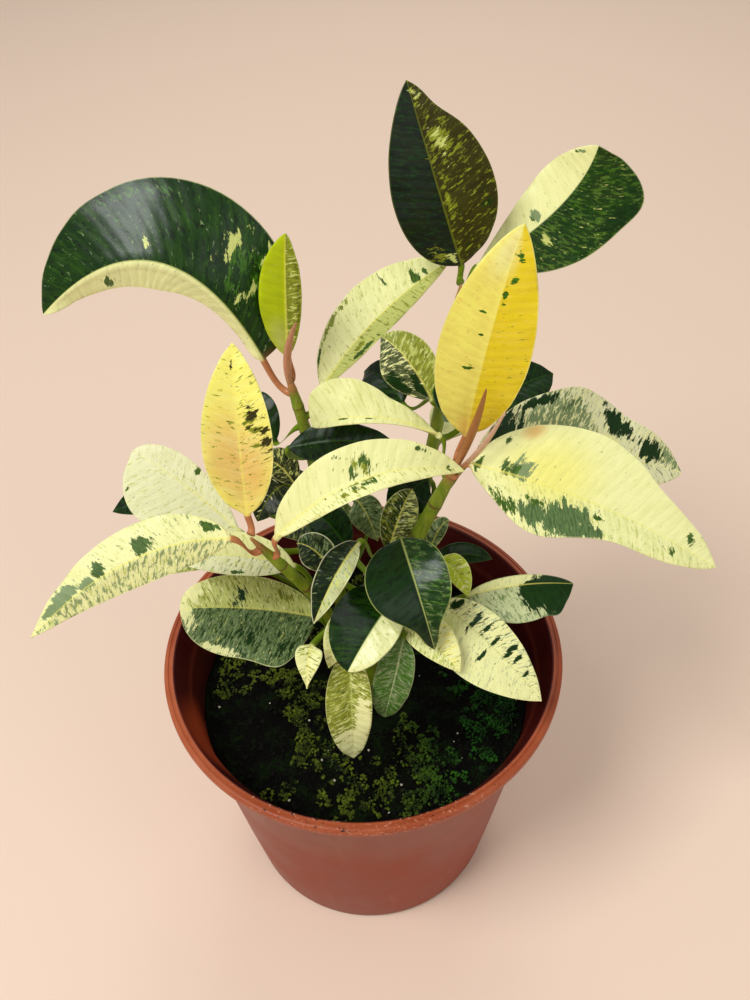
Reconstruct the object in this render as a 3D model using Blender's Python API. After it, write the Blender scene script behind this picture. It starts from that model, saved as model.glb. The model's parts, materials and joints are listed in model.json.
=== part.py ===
"""Variegated rubber plant in a round nursery pot. Metres, +Z up, origin under the pot's middle."""
import math
from dataclasses import dataclass

import bmesh
import bpy
from mathutils import Vector, noise

MM = 0.001
GAP = 0.3

# Pot, in millimetres
POT_HEIGHT = 138.0
RIM_RADIUS = 85.0
BASE_RADIUS = 60.0
WALL_TOP_RADIUS = 77.5
WALL = 1.6
FLOOR = 2.5
LIP_WIDTH = 4.6
LIP_DEPTH = 4.0
COLLAR_DROP = 10.0
POT_SIDES = 40
DRAIN_HOLES = 6
DRAIN_RADIUS = 4.0
DRAIN_CIRCLE = 40.0

# Soil, in millimetres
SOIL_TOP = 109.0
SOIL_RELIEF = 2.2
SOIL_RINGS = 5
STEM_FOOT = 84.0

# Stems, in millimetres: route points from the foot in the soil to the growing tip
ROD_SIDES = 8
STEM_STEPS = 14
STEM_ROUTES = {
    "stem_left": ((-7, 14, STEM_FOOT), (-7, 14, 116), (-10, 18, 170), (-16, 20, 235), (-21, 20, 268)),
    "stem_front": ((-9, 0, STEM_FOOT), (-9, 0, 116), (-10, -5, 150), (-17, -15, 190), (-36, -30, 242)),
    "stem_middle": ((3, -7, STEM_FOOT), (3, -7, 116), (4, -9, 150), (6, -9, 180), (9, -9, 208)),
    "stem_right": ((9, 6, STEM_FOOT), (9, 6, 116), (12, 3, 155), (20, 1, 195), (37, 0, 243)),
    "stem_back": ((18, 22, STEM_FOOT), (18, 22, 116), (25, 29, 180), (36, 40, 245), (41, 42, 290)),
}
SPIKE_STEPS = 6
SPIKE_BEND = 0.4
SPIKE_TIP_RADIUS = 0.25
SPIKES = (
    ("new_leaf_right", "stem_right", (44, -8, 283), 1.3),
    ("new_leaf_left", "stem_left", (-16, 9, 300), 1.2),
)
STEM_RADII = {
    "stem_left": (3.4, 1.9),
    "stem_front": (3.4, 1.9),
    "stem_middle": (3.2, 2.2),
    "stem_right": (3.8, 2.5),
    "stem_back": (3.4, 2.2),
}

# Leaf mesh
BLADE_ROWS = 7
STALK_ROWS = 2
HALF_COLUMNS = 2
STALK_RADIUS = 1.2
BLADE_THICKNESS = 0.8
RIB_DEPTH = 0.9
TIP_HALF_WIDTH = 0.5
UNFOLDED_SHARE = 0.4
WAVES = 3
STALK_BEND = 0.35
STALK_ROUNDNESS = 0.85

CREAM = (0.80, 0.80, 0.46)
YELLOW = (0.82, 0.68, 0.20)
GREEN = (0.03, 0.10, 0.02)
GREY_GREEN = (0.30, 0.38, 0.22)
LIME = (0.55, 0.62, 0.16)


@dataclass
class Leaf:
    """One leaf, in millimetres and degrees. Left and right are seen from above, tip ahead.

    Each entry of edges draws one half in, or lets it out where the share is below 0, as
    (side, along, half length, share of the half width), side being -1 left or 1 right.
    """

    name: str
    stem: str
    at: float
    base: tuple
    tip: tuple
    face: tuple
    left: float
    right: float
    bulge: tuple = (0, 0, 4)
    fold: tuple = (12, 12)
    wave: float = 0.0
    belly: float = 0.45
    point: float = 1.5
    edges: tuple = ()
    colour: tuple = CREAM


LEAVES = (
    # Front stem
    Leaf("leaf_low_left", "stem_front", 0.96, (-42, -34, 246), (-108, -55, 226), (-0.1, -0.5, 0.8), 10, 11,
         bulge=(0, 4, 8), fold=(-40, 5), belly=0.4),
    Leaf("leaf_yellow_small", "stem_front", 1.0, (-36, -27, 250), (-36, -2, 301), (0, -0.8, 0.6), 12, 11,
         bulge=(0, -4, 2), colour=YELLOW),
    Leaf("leaf_cream_middle", "stem_front", 0.93, (-27, -31, 242), (37, -16, 254), (0, -0.5, 0.85), 12, 6,
         bulge=(-2, -3, 15), belly=0.45),
    Leaf("leaf_wide_low_left", "stem_front", 0.5, (-18, -10, 172), (-70, -12, 184), (0.1, -0.5, 0.85), 20, 13,
         bulge=(0, 0, 3), belly=0.55, point=1.0, edges=((-1, 0.2, 0.2, -0.4),), colour=GREY_GREEN),
    Leaf("leaf_grey_left", "stem_front", 0.66, (-25, -5, 198), (-71, -8, 209), (0.1, -0.5, 0.85), 8, 9,
         colour=GREY_GREEN),
    # Left stem
    Leaf("leaf_upper_middle", "stem_left", 0.85, (-10, 22, 262), (38, 54, 292), (-0.3, -0.6, 0.7), 14, 6,
         bulge=(-3, 0, 3), fold=(5, -20), belly=0.5),
    Leaf("leaf_arching_dark", "stem_left", 0.95, (-30, 24, 275), (-104, 35, 290), (0, -0.6, 0.8), 12, 29,
         bulge=(6, 0, 29), fold=(-60, 8), belly=0.4, point=1.1, edges=((-1, 0.15, 0.2, 0.4),), colour=GREEN),
    Leaf("leaf_young_lime", "stem_left", 1.0, (-21, 22, 277), (-18, 26, 322), (-0.1, -0.8, 0.5), 9, 6,
         fold=(20, 20), colour=LIME),
    Leaf("leaf_cream_back_left", "stem_left", 0.56, (-45, 5, 208), (-83, 25, 234), (0.1, -0.6, 0.8), 21, 9,
         bulge=(0, 0, 3), belly=0.6),
    Leaf("leaf_olive_left", "stem_left", 0.46, (-46, 1, 195), (-89, 5, 190), (0, -0.5, 0.85), 6, 8,
         belly=0.6, colour=GREY_GREEN),
    Leaf("leaf_dark_left", "stem_left", 0.6, (-54, 16, 216), (-94, 16, 211), (0, -0.5, 0.85), 7, 8,
         colour=GREEN),
    Leaf("leaf_dark_behind", "stem_left", 0.74, (-23, 12, 243), (17, 6, 245), (0, -0.5, 0.85), 7, 9,
         bulge=(0, 0, 4), colour=GREEN),
    Leaf("leaf_small_dark", "stem_left", 0.82, (-29, 22, 238), (-36, 36, 250), (0, -0.6, 0.8), 5, 5,
         colour=GREEN),
    Leaf("leaf_curled_back", "stem_left", 0.65, (-23, 16, 221), (-34, 20, 230), (0, -0.6, 0.8), 5, 7,
         colour=GREEN),
    # Right stem
    Leaf("leaf_pale_middle", "stem_right", 0.96, (31, 7, 250), (-14, 6, 259), (0.1, -0.5, 0.85), 3, 14,
         bulge=(0, 0, 6), belly=0.75, edges=((1, 0.35, 0.2, 0.25),)),
    Leaf("leaf_yellow_tall", "stem_right", 1.0, (40, 4, 253), (55, 10, 331), (-0.1, -0.8, 0.55), 16, 15,
         bulge=(-2, -4, 2), colour=YELLOW),
    Leaf("leaf_big_right", "stem_right", 0.97, (41, -3, 245), (126, -32, 216), (0.1, -0.5, 0.85), 24, 16,
         bulge=(0, 0, 6), belly=0.45,
         edges=((-1, 0.78, 0.2, 0.3), (1, 0.27, 0.18, -0.4), (1, 0.62, 0.2, 0.25))),
    Leaf("leaf_mottled_right", "stem_right", 0.93, (44, 8, 236), (132, 28, 205), (0.1, -0.5, 0.85), 26, 14,
         bulge=(0, 0, 6), belly=0.5, wave=1.5, edges=((-1, 0.78, 0.16, 0.3),), colour=GREY_GREEN),
    Leaf("leaf_dark_right", "stem_back", 0.66, (48, 38, 232), (82, 58, 235), (0, -0.5, 0.85), 12, 12,
         bulge=(0, 0, 3), colour=GREEN),
    Leaf("leaf_little_grey", "stem_right", 0.66, (28, 4, 192), (36, 10, 203), (0, -0.7, 0.7), 4, 3,
         colour=GREY_GREEN),
    Leaf("leaf_dark_strip_right", "stem_right", 0.6, (29, 4, 185), (54, 8, 181), (0, -0.6, 0.8), 5, 4,
         colour=GREEN),
    Leaf("leaf_little_lime", "stem_right", 0.62, (32, -3, 194), (41, -18, 190), (0, -0.6, 0.8), 6, 4,
         colour=LIME),
    Leaf("leaf_low_right", "stem_right", 0.55, (42, -12, 183), (84, -8, 182), (0, -0.6, 0.8), 4, 15,
         bulge=(0, 0, 3), point=1.2, edges=((1, 0.85, 0.1, -0.3),)),
    # Back stem
    Leaf("leaf_top_dark", "stem_back", 1.0, (41, 45, 296), (23, 62, 354), (0, -0.75, 0.65), 17, 19,
         bulge=(0, -3, 0), belly=0.42, edges=((1, 0.88, 0.1, 0.25),), colour=GREEN),
    Leaf("leaf_top_right", "stem_back", 0.98, (47, 46, 294), (88, 60, 330), (-0.3, -0.7, 0.6), 13, 21,
         bulge=(8, 4, -3), fold=(5, -20), belly=0.58, edges=((1, 0.85, 0.15, -0.35),)),
    Leaf("leaf_small_two_tone", "stem_back", 0.8, (29, 18, 258), (12, 32, 276), (0, -0.7, 0.7), 11, 9,
         fold=(-20, 10)),
    Leaf("leaf_dark_back_middle", "stem_back", 0.75, (19, 26, 250), (6, 46, 250), (0, -0.6, 0.8), 8, 8,
         colour=GREEN),
    Leaf("leaf_back_left", "stem_back", 0.5, (11, 50, 194), (-14, 84, 186), (0, 0.5, 0.85), 12, 12,
         bulge=(0, 0, 6), colour=GREEN),
    Leaf("leaf_back_right", "stem_back", 0.55, (37, 60, 200), (66, 96, 190), (0.2, 0.4, 0.85), 14, 14,
         bulge=(0, 0, 6)),
    Leaf("leaf_dark_core", "stem_back", 0.48, (29, 29, 207), (14, 17, 197), (0, -0.7, 0.7), 10, 9,
         colour=GREEN),
    Leaf("leaf_back_low", "stem_left", 0.4, (-18, 44, 186), (-46, 64, 178), (-0.2, 0.3, 0.85), 10, 10,
         bulge=(0, 0, 4), colour=GREEN),
    # Middle stem
    Leaf("leaf_dark_drooping", "stem_middle", 1.0, (16, -12, 217), (26, -42, 190), (0, -0.7, 0.7), 13, 18,
         bulge=(0, -6, 6), belly=0.35, point=1.55, edges=((1, 0.8, 0.18, 0.45), (-1, 0.8, 0.15, 0.35)),
         colour=GREEN),
    Leaf("leaf_dark_and_cream", "stem_middle", 0.95, (14, -22, 198), (-6, -46, 185), (0, -0.6, 0.8), 10, 16,
         bulge=(0, 0, 3), belly=0.5, point=1.2, colour=GREEN),
    Leaf("leaf_wavy_cream", "stem_middle", 0.98, (0, -18, 223), (-17, -38, 204), (0, -0.6, 0.8), 5, 7,
         bulge=(0, 0, 4), wave=1.5),
    Leaf("leaf_cream_under", "stem_middle", 0.88, (-5, -27, 195), (-13, -41, 181), (0, -0.6, 0.8), 6, 5),
    Leaf("leaf_small_pointed", "stem_middle", 0.8, (-19, -39, 191), (-21, -51, 183), (0, -0.6, 0.8), 5, 5,
         belly=0.35, point=1.8),
    Leaf("leaf_flecked_right", "stem_middle", 0.9, (30, -19, 188), (66, -50, 165), (0, -0.6, 0.8), 10, 17,
         bulge=(0, 0, 4), belly=0.42),
    Leaf("leaf_cream_low", "stem_middle", 0.85, (15, -27, 187), (35, -46, 181), (0, -0.6, 0.8), 9, 6),
    Leaf("leaf_puckered_front", "stem_middle", 0.7, (-5, -36, 183), (-6, -50, 132), (0, -0.8, 0.6), 8, 10,
         bulge=(0, -4, 4), belly=0.45, point=1.2),
    Leaf("leaf_grey_front", "stem_middle", 0.6, (15, -34, 186), (7, -44, 151), (0, -0.8, 0.6), 7, 8,
         point=1.0, bulge=(0, -3, 3), colour=GREY_GREEN),
    Leaf("leaf_yellow_inner", "stem_middle", 0.92, (12, 2, 196), (22, 14, 217), (0, -0.7, 0.7), 7, 7,
         colour=YELLOW),
    Leaf("leaf_dark_inner", "stem_middle", 0.84, (-4, 4, 196), (-20, 12, 213), (0, -0.7, 0.7), 7, 8,
         colour=GREEN),
    Leaf("leaf_curled_inner", "stem_middle", 0.78, (-10, -8, 197), (-23, 0, 205), (0, -0.7, 0.7), 7, 7,
         colour=GREEN),
    # Small leaves crowded in the middle
    Leaf("leaf_inner_green", "stem_left", 0.46, (0, 30, 187), (-34, 33, 176), (0, -0.6, 0.8), 10, 9,
         colour=GREEN),
    Leaf("leaf_inner_grey", "stem_left", 0.56, (0, 22, 205), (8, 15, 188), (0, -0.7, 0.7), 7, 7,
         colour=GREY_GREEN),
    Leaf("leaf_inner_brown", "stem_left", 0.68, (-27, 20, 217), (-38, 8, 210), (0, -0.7, 0.7), 8, 7,
         colour=GREEN),
    Leaf("leaf_upper_dark", "stem_back", 0.72, (37, 20, 250), (31, 7, 262), (0, -0.7, 0.7), 7, 8,
         colour=GREEN),
)


def clear_scene():
    for block in list(bpy.data.objects):
        bpy.data.objects.remove(block, do_unlink=True)


def surface(name, colour, roughness):
    material = bpy.data.materials.new(name)
    material.use_nodes = True
    shader = material.node_tree.nodes["Principled BSDF"]
    shader.inputs["Base Color"].default_value = (*colour, 1.0)
    shader.inputs["Roughness"].default_value = roughness
    return material


def place(name, mesh_source, material, smooth_angle=40):
    mesh = bpy.data.meshes.new(name)
    mesh_source.to_mesh(mesh)
    mesh_source.free()
    mesh.materials.append(material)
    mesh.shade_smooth()
    mesh.set_sharp_from_angle(angle=math.radians(smooth_angle))
    thing = bpy.data.objects.new(name, mesh)
    bpy.context.collection.objects.link(thing)
    return thing


def turned(profile, sides):
    """A closed body turned about Z from (radius, height) points in millimetres."""
    shape = bmesh.new()
    ring = [shape.verts.new((radius * MM, 0, height * MM)) for radius, height in profile]
    for lower, upper in zip(ring, ring[1:]):
        shape.edges.new((lower, upper))
    bmesh.ops.spin(shape, geom=shape.verts[:] + shape.edges[:], cent=(0, 0, 0), axis=(0, 0, 1),
                   angle=math.tau, steps=sides, use_merge=True)
    bmesh.ops.remove_doubles(shape, verts=shape.verts[:], dist=0.01 * MM)
    bmesh.ops.recalc_face_normals(shape, faces=shape.faces[:])
    return shape


def cutter(name, spots, depth, sides):
    """Upright round pegs, as (x, y, bottom, radius), that a Boolean takes away."""
    shape = bmesh.new()
    for x, y, bottom, radius in spots:
        peg = bmesh.ops.create_cone(shape, cap_ends=True, segments=sides, radius1=radius * MM,
                                    radius2=radius * MM, depth=depth * MM)
        bmesh.ops.translate(shape, verts=peg["verts"],
                            vec=(x * MM, y * MM, (bottom + depth / 2) * MM))
    thing = place(name, shape, surface(name, (0.5, 0.5, 0.5), 0.5))
    thing.hide_render = True
    thing.display_type = "WIRE"
    return thing


def cut(thing, tool):
    boolean = thing.modifiers.new("cut", "BOOLEAN")
    boolean.operation = "DIFFERENCE"
    boolean.solver = "EXACT"
    boolean.object = tool


def wall_radius(height):
    """Outer radius of the tapering pot wall."""
    return BASE_RADIUS + (WALL_TOP_RADIUS - BASE_RADIUS) * height / (POT_HEIGHT - LIP_DEPTH)


def inner_radius(height):
    """Inner radius of the wall, from just above the floor to just under the collar."""
    low, high = FLOOR + 2, POT_HEIGHT - LIP_DEPTH - COLLAR_DROP - 1
    share = (height - low) / (high - low)
    foot = BASE_RADIUS - WALL + 0.3
    return foot + (wall_radius(high) - WALL - foot) * share


def make_pot():
    lip_bottom = POT_HEIGHT - LIP_DEPTH
    collar = lip_bottom - COLLAR_DROP
    inside_rim = RIM_RADIUS - LIP_WIDTH
    profile = (
        (0, 0), (BASE_RADIUS - 3, 0), (BASE_RADIUS - 0.8, 0.8), (BASE_RADIUS, 3),
        (wall_radius(collar), collar), (wall_radius(collar) + 1.2, collar + 1.5),
        (inside_rim, lip_bottom), (RIM_RADIUS - 0.6, lip_bottom), (RIM_RADIUS, lip_bottom + 0.6),
        (RIM_RADIUS, POT_HEIGHT - 1.0), (RIM_RADIUS - 1.0, POT_HEIGHT),
        (RIM_RADIUS - 2.2, POT_HEIGHT - 0.3), (RIM_RADIUS - 3.4, POT_HEIGHT),
        (inside_rim, POT_HEIGHT - 0.8), (inside_rim - 1.0, lip_bottom),
        (inner_radius(collar - 1), collar - 1),
        (inner_radius(FLOOR + 2), FLOOR + 2), (BASE_RADIUS - 4, FLOOR), (0, FLOOR),
    )
    pot = place("pot", turned(profile, POT_SIDES), surface("pot_plastic", (0.52, 0.17, 0.09), 0.4))
    turn = math.tau / DRAIN_HOLES
    spots = [(DRAIN_CIRCLE * math.cos(k * turn), DRAIN_CIRCLE * math.sin(k * turn), -2, DRAIN_RADIUS)
             for k in range(DRAIN_HOLES)]
    cut(pot, cutter("drain_pegs", spots, FLOOR + 4, 12))


def make_soil():
    edge = inner_radius(SOIL_TOP) - GAP
    top = [(edge * k / SOIL_RINGS, SOIL_TOP) for k in range(SOIL_RINGS + 1)]
    low = FLOOR + GAP
    profile = [(0, low), (BASE_RADIUS - 5, low), (inner_radius(low + 3) - GAP, low + 3)]
    shape = turned(profile + top[::-1], POT_SIDES)
    for vertex in shape.verts:
        if vertex.co.z > (SOIL_TOP - 1) * MM:
            reach = Vector((vertex.co.x, vertex.co.y)).length / (edge * MM)
            lumps = noise.noise(vertex.co * 70) + 0.6 * noise.noise(vertex.co * 160)
            vertex.co.z += SOIL_RELIEF * MM * (lumps - reach ** 4)
            room = (inner_radius(vertex.co.z / MM) - GAP) / edge
            vertex.co.x *= room
            vertex.co.y *= room
    bmesh.ops.triangulate(shape, faces=shape.faces[:])
    soil = place("soil", shape, surface("soil_dark", (0.02, 0.018, 0.012), 0.95))
    spots = []
    for name, route in STEM_ROUTES.items():
        foot = route[0]
        spots.append((foot[0], foot[1], STEM_FOOT - GAP, STEM_RADII[name][0] + 1.6))
    cut(soil, cutter("stem_pegs", spots, 40, 12))


def on_route(route, share):
    """Point on a smooth curve through the route's points, share running from 0 to 1."""
    points = [Vector(point) for point in route]
    points = [2 * points[0] - points[1]] + points + [2 * points[-1] - points[-2]]
    spans = len(route) - 1
    span = min(int(share * spans), spans - 1)
    t = share * spans - span
    a, b, c, d = points[span:span + 4]
    return 0.5 * ((2 * b) + (c - a) * t + (2 * a - 5 * b + 4 * c - d) * t * t
                  + (3 * b - a - 3 * c + d) * t ** 3)


def stem_radius(name, share):
    foot, tip = STEM_RADII[name]
    return foot + (tip - foot) * share


def make_tube(name, points, colour):
    """A round rod with filled ends through (place, radius) points in millimetres."""
    curve = bpy.data.curves.new(name, "CURVE")
    curve.dimensions = "3D"
    curve.bevel_depth = MM
    curve.bevel_resolution = ROD_SIDES // 4
    curve.use_fill_caps = True
    spline = curve.splines.new("POLY")
    spline.points.add(len(points) - 1)
    for point, (spot, radius) in zip(spline.points, points):
        point.co = (*(spot * MM), 1.0)
        point.radius = radius
    curve.materials.append(surface(name + "_skin", colour, 0.5))
    tube = bpy.data.objects.new(name, curve)
    bpy.context.collection.objects.link(tube)


def make_stem(name, route):
    shares = [k / STEM_STEPS for k in range(STEM_STEPS + 1)]
    points = [(on_route(route, share), stem_radius(name, share)) for share in shares]
    make_tube(name, points, (0.30, 0.40, 0.05))


def outline(leaf, along, side):
    """Half width as a share of the full half width, widest at the belly."""
    start = leaf.point * leaf.belly
    end = leaf.point * (1 - leaf.belly)
    peak = leaf.belly ** start * (1 - leaf.belly) ** end
    along = min(max(along, 0.0), 1.0)
    share = (along ** start) * ((1 - along) ** end) / peak
    for edge_side, middle, reach, depth in leaf.edges:
        if edge_side == side:
            share *= 1 - depth * math.exp(-((along - middle) / reach) ** 2)
    return share


def midrib(leaf, along):
    base = Vector(leaf.base)
    tip = Vector(leaf.tip)
    return base.lerp(tip, along) + 4 * along * (1 - along) * Vector(leaf.bulge)


def leaf_axes(leaf, along):
    """Forward, rightward and outward directions of the blade at a point of the midrib."""
    ahead = (midrib(leaf, along + 0.01) - midrib(leaf, along - 0.01)).normalized()
    out = Vector(leaf.face)
    out = (out - out.dot(ahead) * ahead).normalized()
    return ahead, ahead.cross(out), out


def half_blade(leaf, along, across):
    """Side, half width and upward lean in radians of the half blade that a point lies in."""
    side = 1 if across > 0 else -1
    full, lean = (leaf.right, leaf.fold[1]) if across > 0 else (leaf.left, leaf.fold[0])
    share = outline(leaf, along, side)
    if across == 0:
        lean = 0
    return side, full * share, math.radians(lean) * min(1.0, share / UNFOLDED_SHARE)


def blade_point(leaf, along, across):
    """Point halfway through the blade, across running from -1 left to 1 right."""
    ahead, right, out = leaf_axes(leaf, along)
    side, half, lean = half_blade(leaf, along, across)
    reach = abs(across) * max(half, STALK_RADIUS if along < 0.3 else TIP_HALF_WIDTH)
    swing = leaf.wave * math.sin(math.tau * WAVES * along + side)
    ripple = swing * across ** 2 * outline(leaf, along, side)
    return (midrib(leaf, along) + right * (side * reach * math.cos(lean))
            + out * (reach * math.sin(lean) + ripple))


def blade_offsets(leaf, along, across):
    """How far the upper and lower faces stand off the middle of the blade, rib included."""
    ahead, right, out = leaf_axes(leaf, along)
    side, half, lean = half_blade(leaf, along, across)
    up = out * math.cos(lean) - right * (side * math.sin(lean))
    rib = RIB_DEPTH * (1 - along) if across == 0 else 0
    return up * (BLADE_THICKNESS / 2), up * (BLADE_THICKNESS / 2 + rib)


def stalk_frame(leaf, share):
    """Stalk centre with its right and outward directions, share 0 at the stem, 1 at the blade."""
    route = STEM_ROUTES[leaf.stem]
    joint = on_route(route, leaf.at)
    rise = (joint - on_route(route, leaf.at - 0.03)).normalized()
    base = Vector(leaf.base)
    away = base - joint
    away = (away - away.dot(rise) * rise).normalized()
    start = joint + away * (stem_radius(leaf.stem, leaf.at) + GAP)
    ahead, right, out = leaf_axes(leaf, 0.0)
    handle = STALK_BEND * (base - start).length
    knee = start + away * handle
    entry = base - ahead * handle
    keep = 1 - share
    centre = (start * keep ** 3 + knee * (3 * keep ** 2 * share)
              + entry * (3 * keep * share ** 2) + base * share ** 3)
    forward = (away * keep + ahead * share).normalized()
    side = (right - right.dot(forward) * forward).normalized()
    return centre, side, side.cross(forward)


def leaf_vertex(leaf, row, across):
    """Middle point of the leaf's thickness at a row and column, with its two face offsets."""
    if row < STALK_ROWS:
        centre, right, out = stalk_frame(leaf, row / STALK_ROWS)
        thick = STALK_RADIUS * math.sqrt(1 - (STALK_ROUNDNESS * across) ** 2)
        return centre + right * (across * STALK_RADIUS), (out * thick, out * thick)
    along = 0.5 - 0.5 * math.cos(math.pi * (row - STALK_ROWS) / BLADE_ROWS)
    return blade_point(leaf, along, across), blade_offsets(leaf, along, across)


def make_leaf(leaf):
    """One closed body: a grid bent to the stalk and blade, doubled into an upper and a lower face."""
    rows = STALK_ROWS + BLADE_ROWS
    shape = bmesh.new()
    bmesh.ops.create_grid(shape, x_segments=2 * HALF_COLUMNS, y_segments=rows, size=1.0)
    bmesh.ops.triangulate(shape, faces=shape.faces[:], quad_method="FIXED")
    tag = shape.verts.layers.int.new("order")
    offsets = []
    for order, vertex in enumerate(shape.verts):
        vertex[tag] = order
        across = round(vertex.co.x * HALF_COLUMNS) / HALF_COLUMNS
        row = round((vertex.co.y + 1) / 2 * rows)
        vertex.co, faces = leaf_vertex(leaf, row, across)
        offsets.append(faces)
    result = bmesh.ops.extrude_face_region(shape, geom=shape.faces[:], use_keep_orig=True)
    lower = {item for item in result["geom"] if isinstance(item, bmesh.types.BMVert)}
    for vertex in shape.verts:
        upward, downward = offsets[vertex[tag]]
        vertex.co += -downward if vertex in lower else upward
        vertex.co *= MM
    bmesh.ops.triangulate(shape, faces=shape.faces[:])
    bmesh.ops.recalc_face_normals(shape, faces=shape.faces[:])
    place(leaf.name, shape, surface(leaf.name + "_skin", leaf.colour, 0.4), 50)


def make_spike(name, stem, tip, radius):
    """A rolled new leaf in its pink sheath, standing on the growing tip of a stem."""
    route = STEM_ROUTES[stem]
    top = on_route(route, 1.0)
    rise = (top - on_route(route, 0.97)).normalized()
    start = top + rise * 2 * GAP
    end = Vector(tip)
    knee = start + rise * SPIKE_BEND * (end - start).length
    points = []
    for k in range(SPIKE_STEPS + 1):
        share = k / SPIKE_STEPS
        keep = 1 - share
        spot = start * keep ** 2 + knee * (2 * keep * share) + end * share ** 2
        points.append((spot, radius * (0.75 + share) * (1 - share ** 2) + SPIKE_TIP_RADIUS))
    make_tube(name, points, (0.75, 0.35, 0.22))


def main():
    clear_scene()
    make_pot()
    make_soil()
    for name, route in STEM_ROUTES.items():
        make_stem(name, route)
    for leaf in LEAVES:
        make_leaf(leaf)
    for name, stem, tip, radius in SPIKES:
        make_spike(name, stem, tip, radius)


main()
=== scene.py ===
"""Looks of the variegated rubber plant in its nursery pot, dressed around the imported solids.

Lengths in the tables are millimetres; everything in the scene is metres.
"""
import functools
import json
import math
import random
from dataclasses import dataclass

import bmesh
import bpy
from mathutils import Matrix, Vector, noise


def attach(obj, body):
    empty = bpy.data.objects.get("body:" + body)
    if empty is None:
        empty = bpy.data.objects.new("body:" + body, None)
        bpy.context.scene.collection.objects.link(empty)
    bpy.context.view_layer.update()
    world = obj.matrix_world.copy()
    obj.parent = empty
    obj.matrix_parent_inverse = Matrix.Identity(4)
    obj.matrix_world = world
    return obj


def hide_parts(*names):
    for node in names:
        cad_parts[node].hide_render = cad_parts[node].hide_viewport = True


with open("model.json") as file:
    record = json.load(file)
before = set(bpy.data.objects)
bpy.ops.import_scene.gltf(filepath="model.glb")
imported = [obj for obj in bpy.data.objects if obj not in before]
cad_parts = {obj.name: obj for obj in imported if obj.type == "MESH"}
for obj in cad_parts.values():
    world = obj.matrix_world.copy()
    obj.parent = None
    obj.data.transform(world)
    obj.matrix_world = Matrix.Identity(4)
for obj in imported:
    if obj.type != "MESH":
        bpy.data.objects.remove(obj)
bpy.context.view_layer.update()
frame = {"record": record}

MM = 0.001
GAP = 0.3

# Pot
POT_HEIGHT = 138.0
RIM_RADIUS = 85.0
BASE_RADIUS = 60.0
WALL_TOP_RADIUS = 77.5
WALL = 1.6
FLOOR = 2.5
LIP_WIDTH = 4.6
LIP_DEPTH = 4.0
COLLAR_DROP = 10.0
POT_SIDES = 144
DRAIN_HOLES = 6
DRAIN_RADIUS = 4.0
DRAIN_CIRCLE = 40.0
# Centre of a painted patch of light on the pot's inner wall, at the left
LIT_PATCH_CENTRE = (-66, -34, 118)

# Soil
SOIL_TOP = 109.0
SOIL_RELIEF = 2.2
SOIL_RINGS = 70
SOIL_SIDES = 180
SOIL_LUMPS = ((1.0, 70), (0.6, 160))
SOIL_CRUMBLE = ((0.5, 420), (0.35, 1100))
MOSS_CLUMPS = 570
MOSS_REACH = 67
LOBE_REACH = 70
CRUMB_REACH = 70
PERLITE_REACH = 68
CRUMBS = 900
PERLITE_GRAINS = 45
STEM_CLEARANCE = 1.5
GROUP = 30
STEM_FOOT = 84.0

# Stems
STEM_ROUTES = {
    "stem_left": ((-7, 14, STEM_FOOT), (-7, 14, 116), (-10, 18, 170), (-16, 20, 235), (-21, 20, 268)),
    "stem_front": ((-9, 0, STEM_FOOT), (-9, 0, 116), (-10, -5, 150), (-17, -15, 190), (-36, -30, 242)),
    "stem_middle": ((3, -7, STEM_FOOT), (3, -7, 116), (4, -9, 150), (6, -9, 180), (9, -9, 208)),
    "stem_right": ((9, 6, STEM_FOOT), (9, 6, 116), (12, 3, 155), (20, 1, 195), (37, 0, 243)),
    "stem_back": ((18, 22, STEM_FOOT), (18, 22, 116), (25, 29, 180), (36, 40, 245), (41, 42, 290)),
}
STEM_RADII = {
    "stem_left": (3.4, 1.9),
    "stem_front": (3.4, 1.9),
    "stem_middle": (3.2, 2.2),
    "stem_right": (3.8, 2.5),
    "stem_back": (3.4, 2.2),
}
STEM_SIDES = 20
STEM_STEPS = 150
SCARS = 8
SCAR_UNEVENNESS = 0.45
SCAR_RHYTHM = 1.7
SCAR_SWELL = 0.07
TIP_SHARE = 0.1
BUD_TAPER = 0.8
BLUNT_TAPER = 0.4
NEARBY = 0.01
SPIKE_STEPS = 36
SPIKE_BEND = 0.4
SPIKE_ROOT = 1.8
SPIKE_TWIST = 0.08
SPIKE_TURNS = 0.8
SPIKE_TIP_RADIUS = 0.25
SPIKES = (
    ("new_leaf_right", "stem_right", (44, -8, 283), 1.3),
    ("new_leaf_left", "stem_left", (-16, 9, 300), 1.2),
)
SHEATH_THICKNESS = 0.3
SHEATHS = (
    ("sheath_right", (37.5, -2, 243), (43, -8, 252), (51.5, -5.5, 271), 1.3),
)

# Leaf mesh
BLADE_ROWS = 54
STALK_ROWS = 12
HALF_COLUMNS = 9
STALK_RADIUS = 1.2
STALK_ROOT = 0.45
BLADE_THICKNESS = 0.7
RIB_DEPTH = 0.8
TIP_HALF_WIDTH = 0.25
UNFOLDED_SHARE = 0.4
EDGE_THICKNESS_SHARE = 0.35
RIB_HALF_WIDTH = 0.9
RIB_GROOVE = 0.22
ROOT_LENGTH = 6
ROOT_RISE = 0.8
ROOT_DROP = 0.5
CREASE_COLUMNS = 2
COLUMN_SPREAD = 0.9
WAVES = 3
STALK_BEND = 0.35
STALK_ROUNDNESS = 0.97
STALK_SWELL = 0.25
STALK_SWELL_REACH = 0.12
VEIN_SLANT = 0.42
UNDULATION = 0.9
UNDULATION_PITCH = 0.14
UNDULATION_RUN = 60
LIVELY_HALF_WIDTH = 6

# Leaf colouring
SPLASHES = 1.6
FLECKS = 2.2
BLUSH_SHARE = 0.7
UNDERSIDE_SHARE = 0.45
COOL_SHEEN = (0.85, 0.93, 1.0, 1.0)
ANY_DEPTH = 1e6

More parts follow.
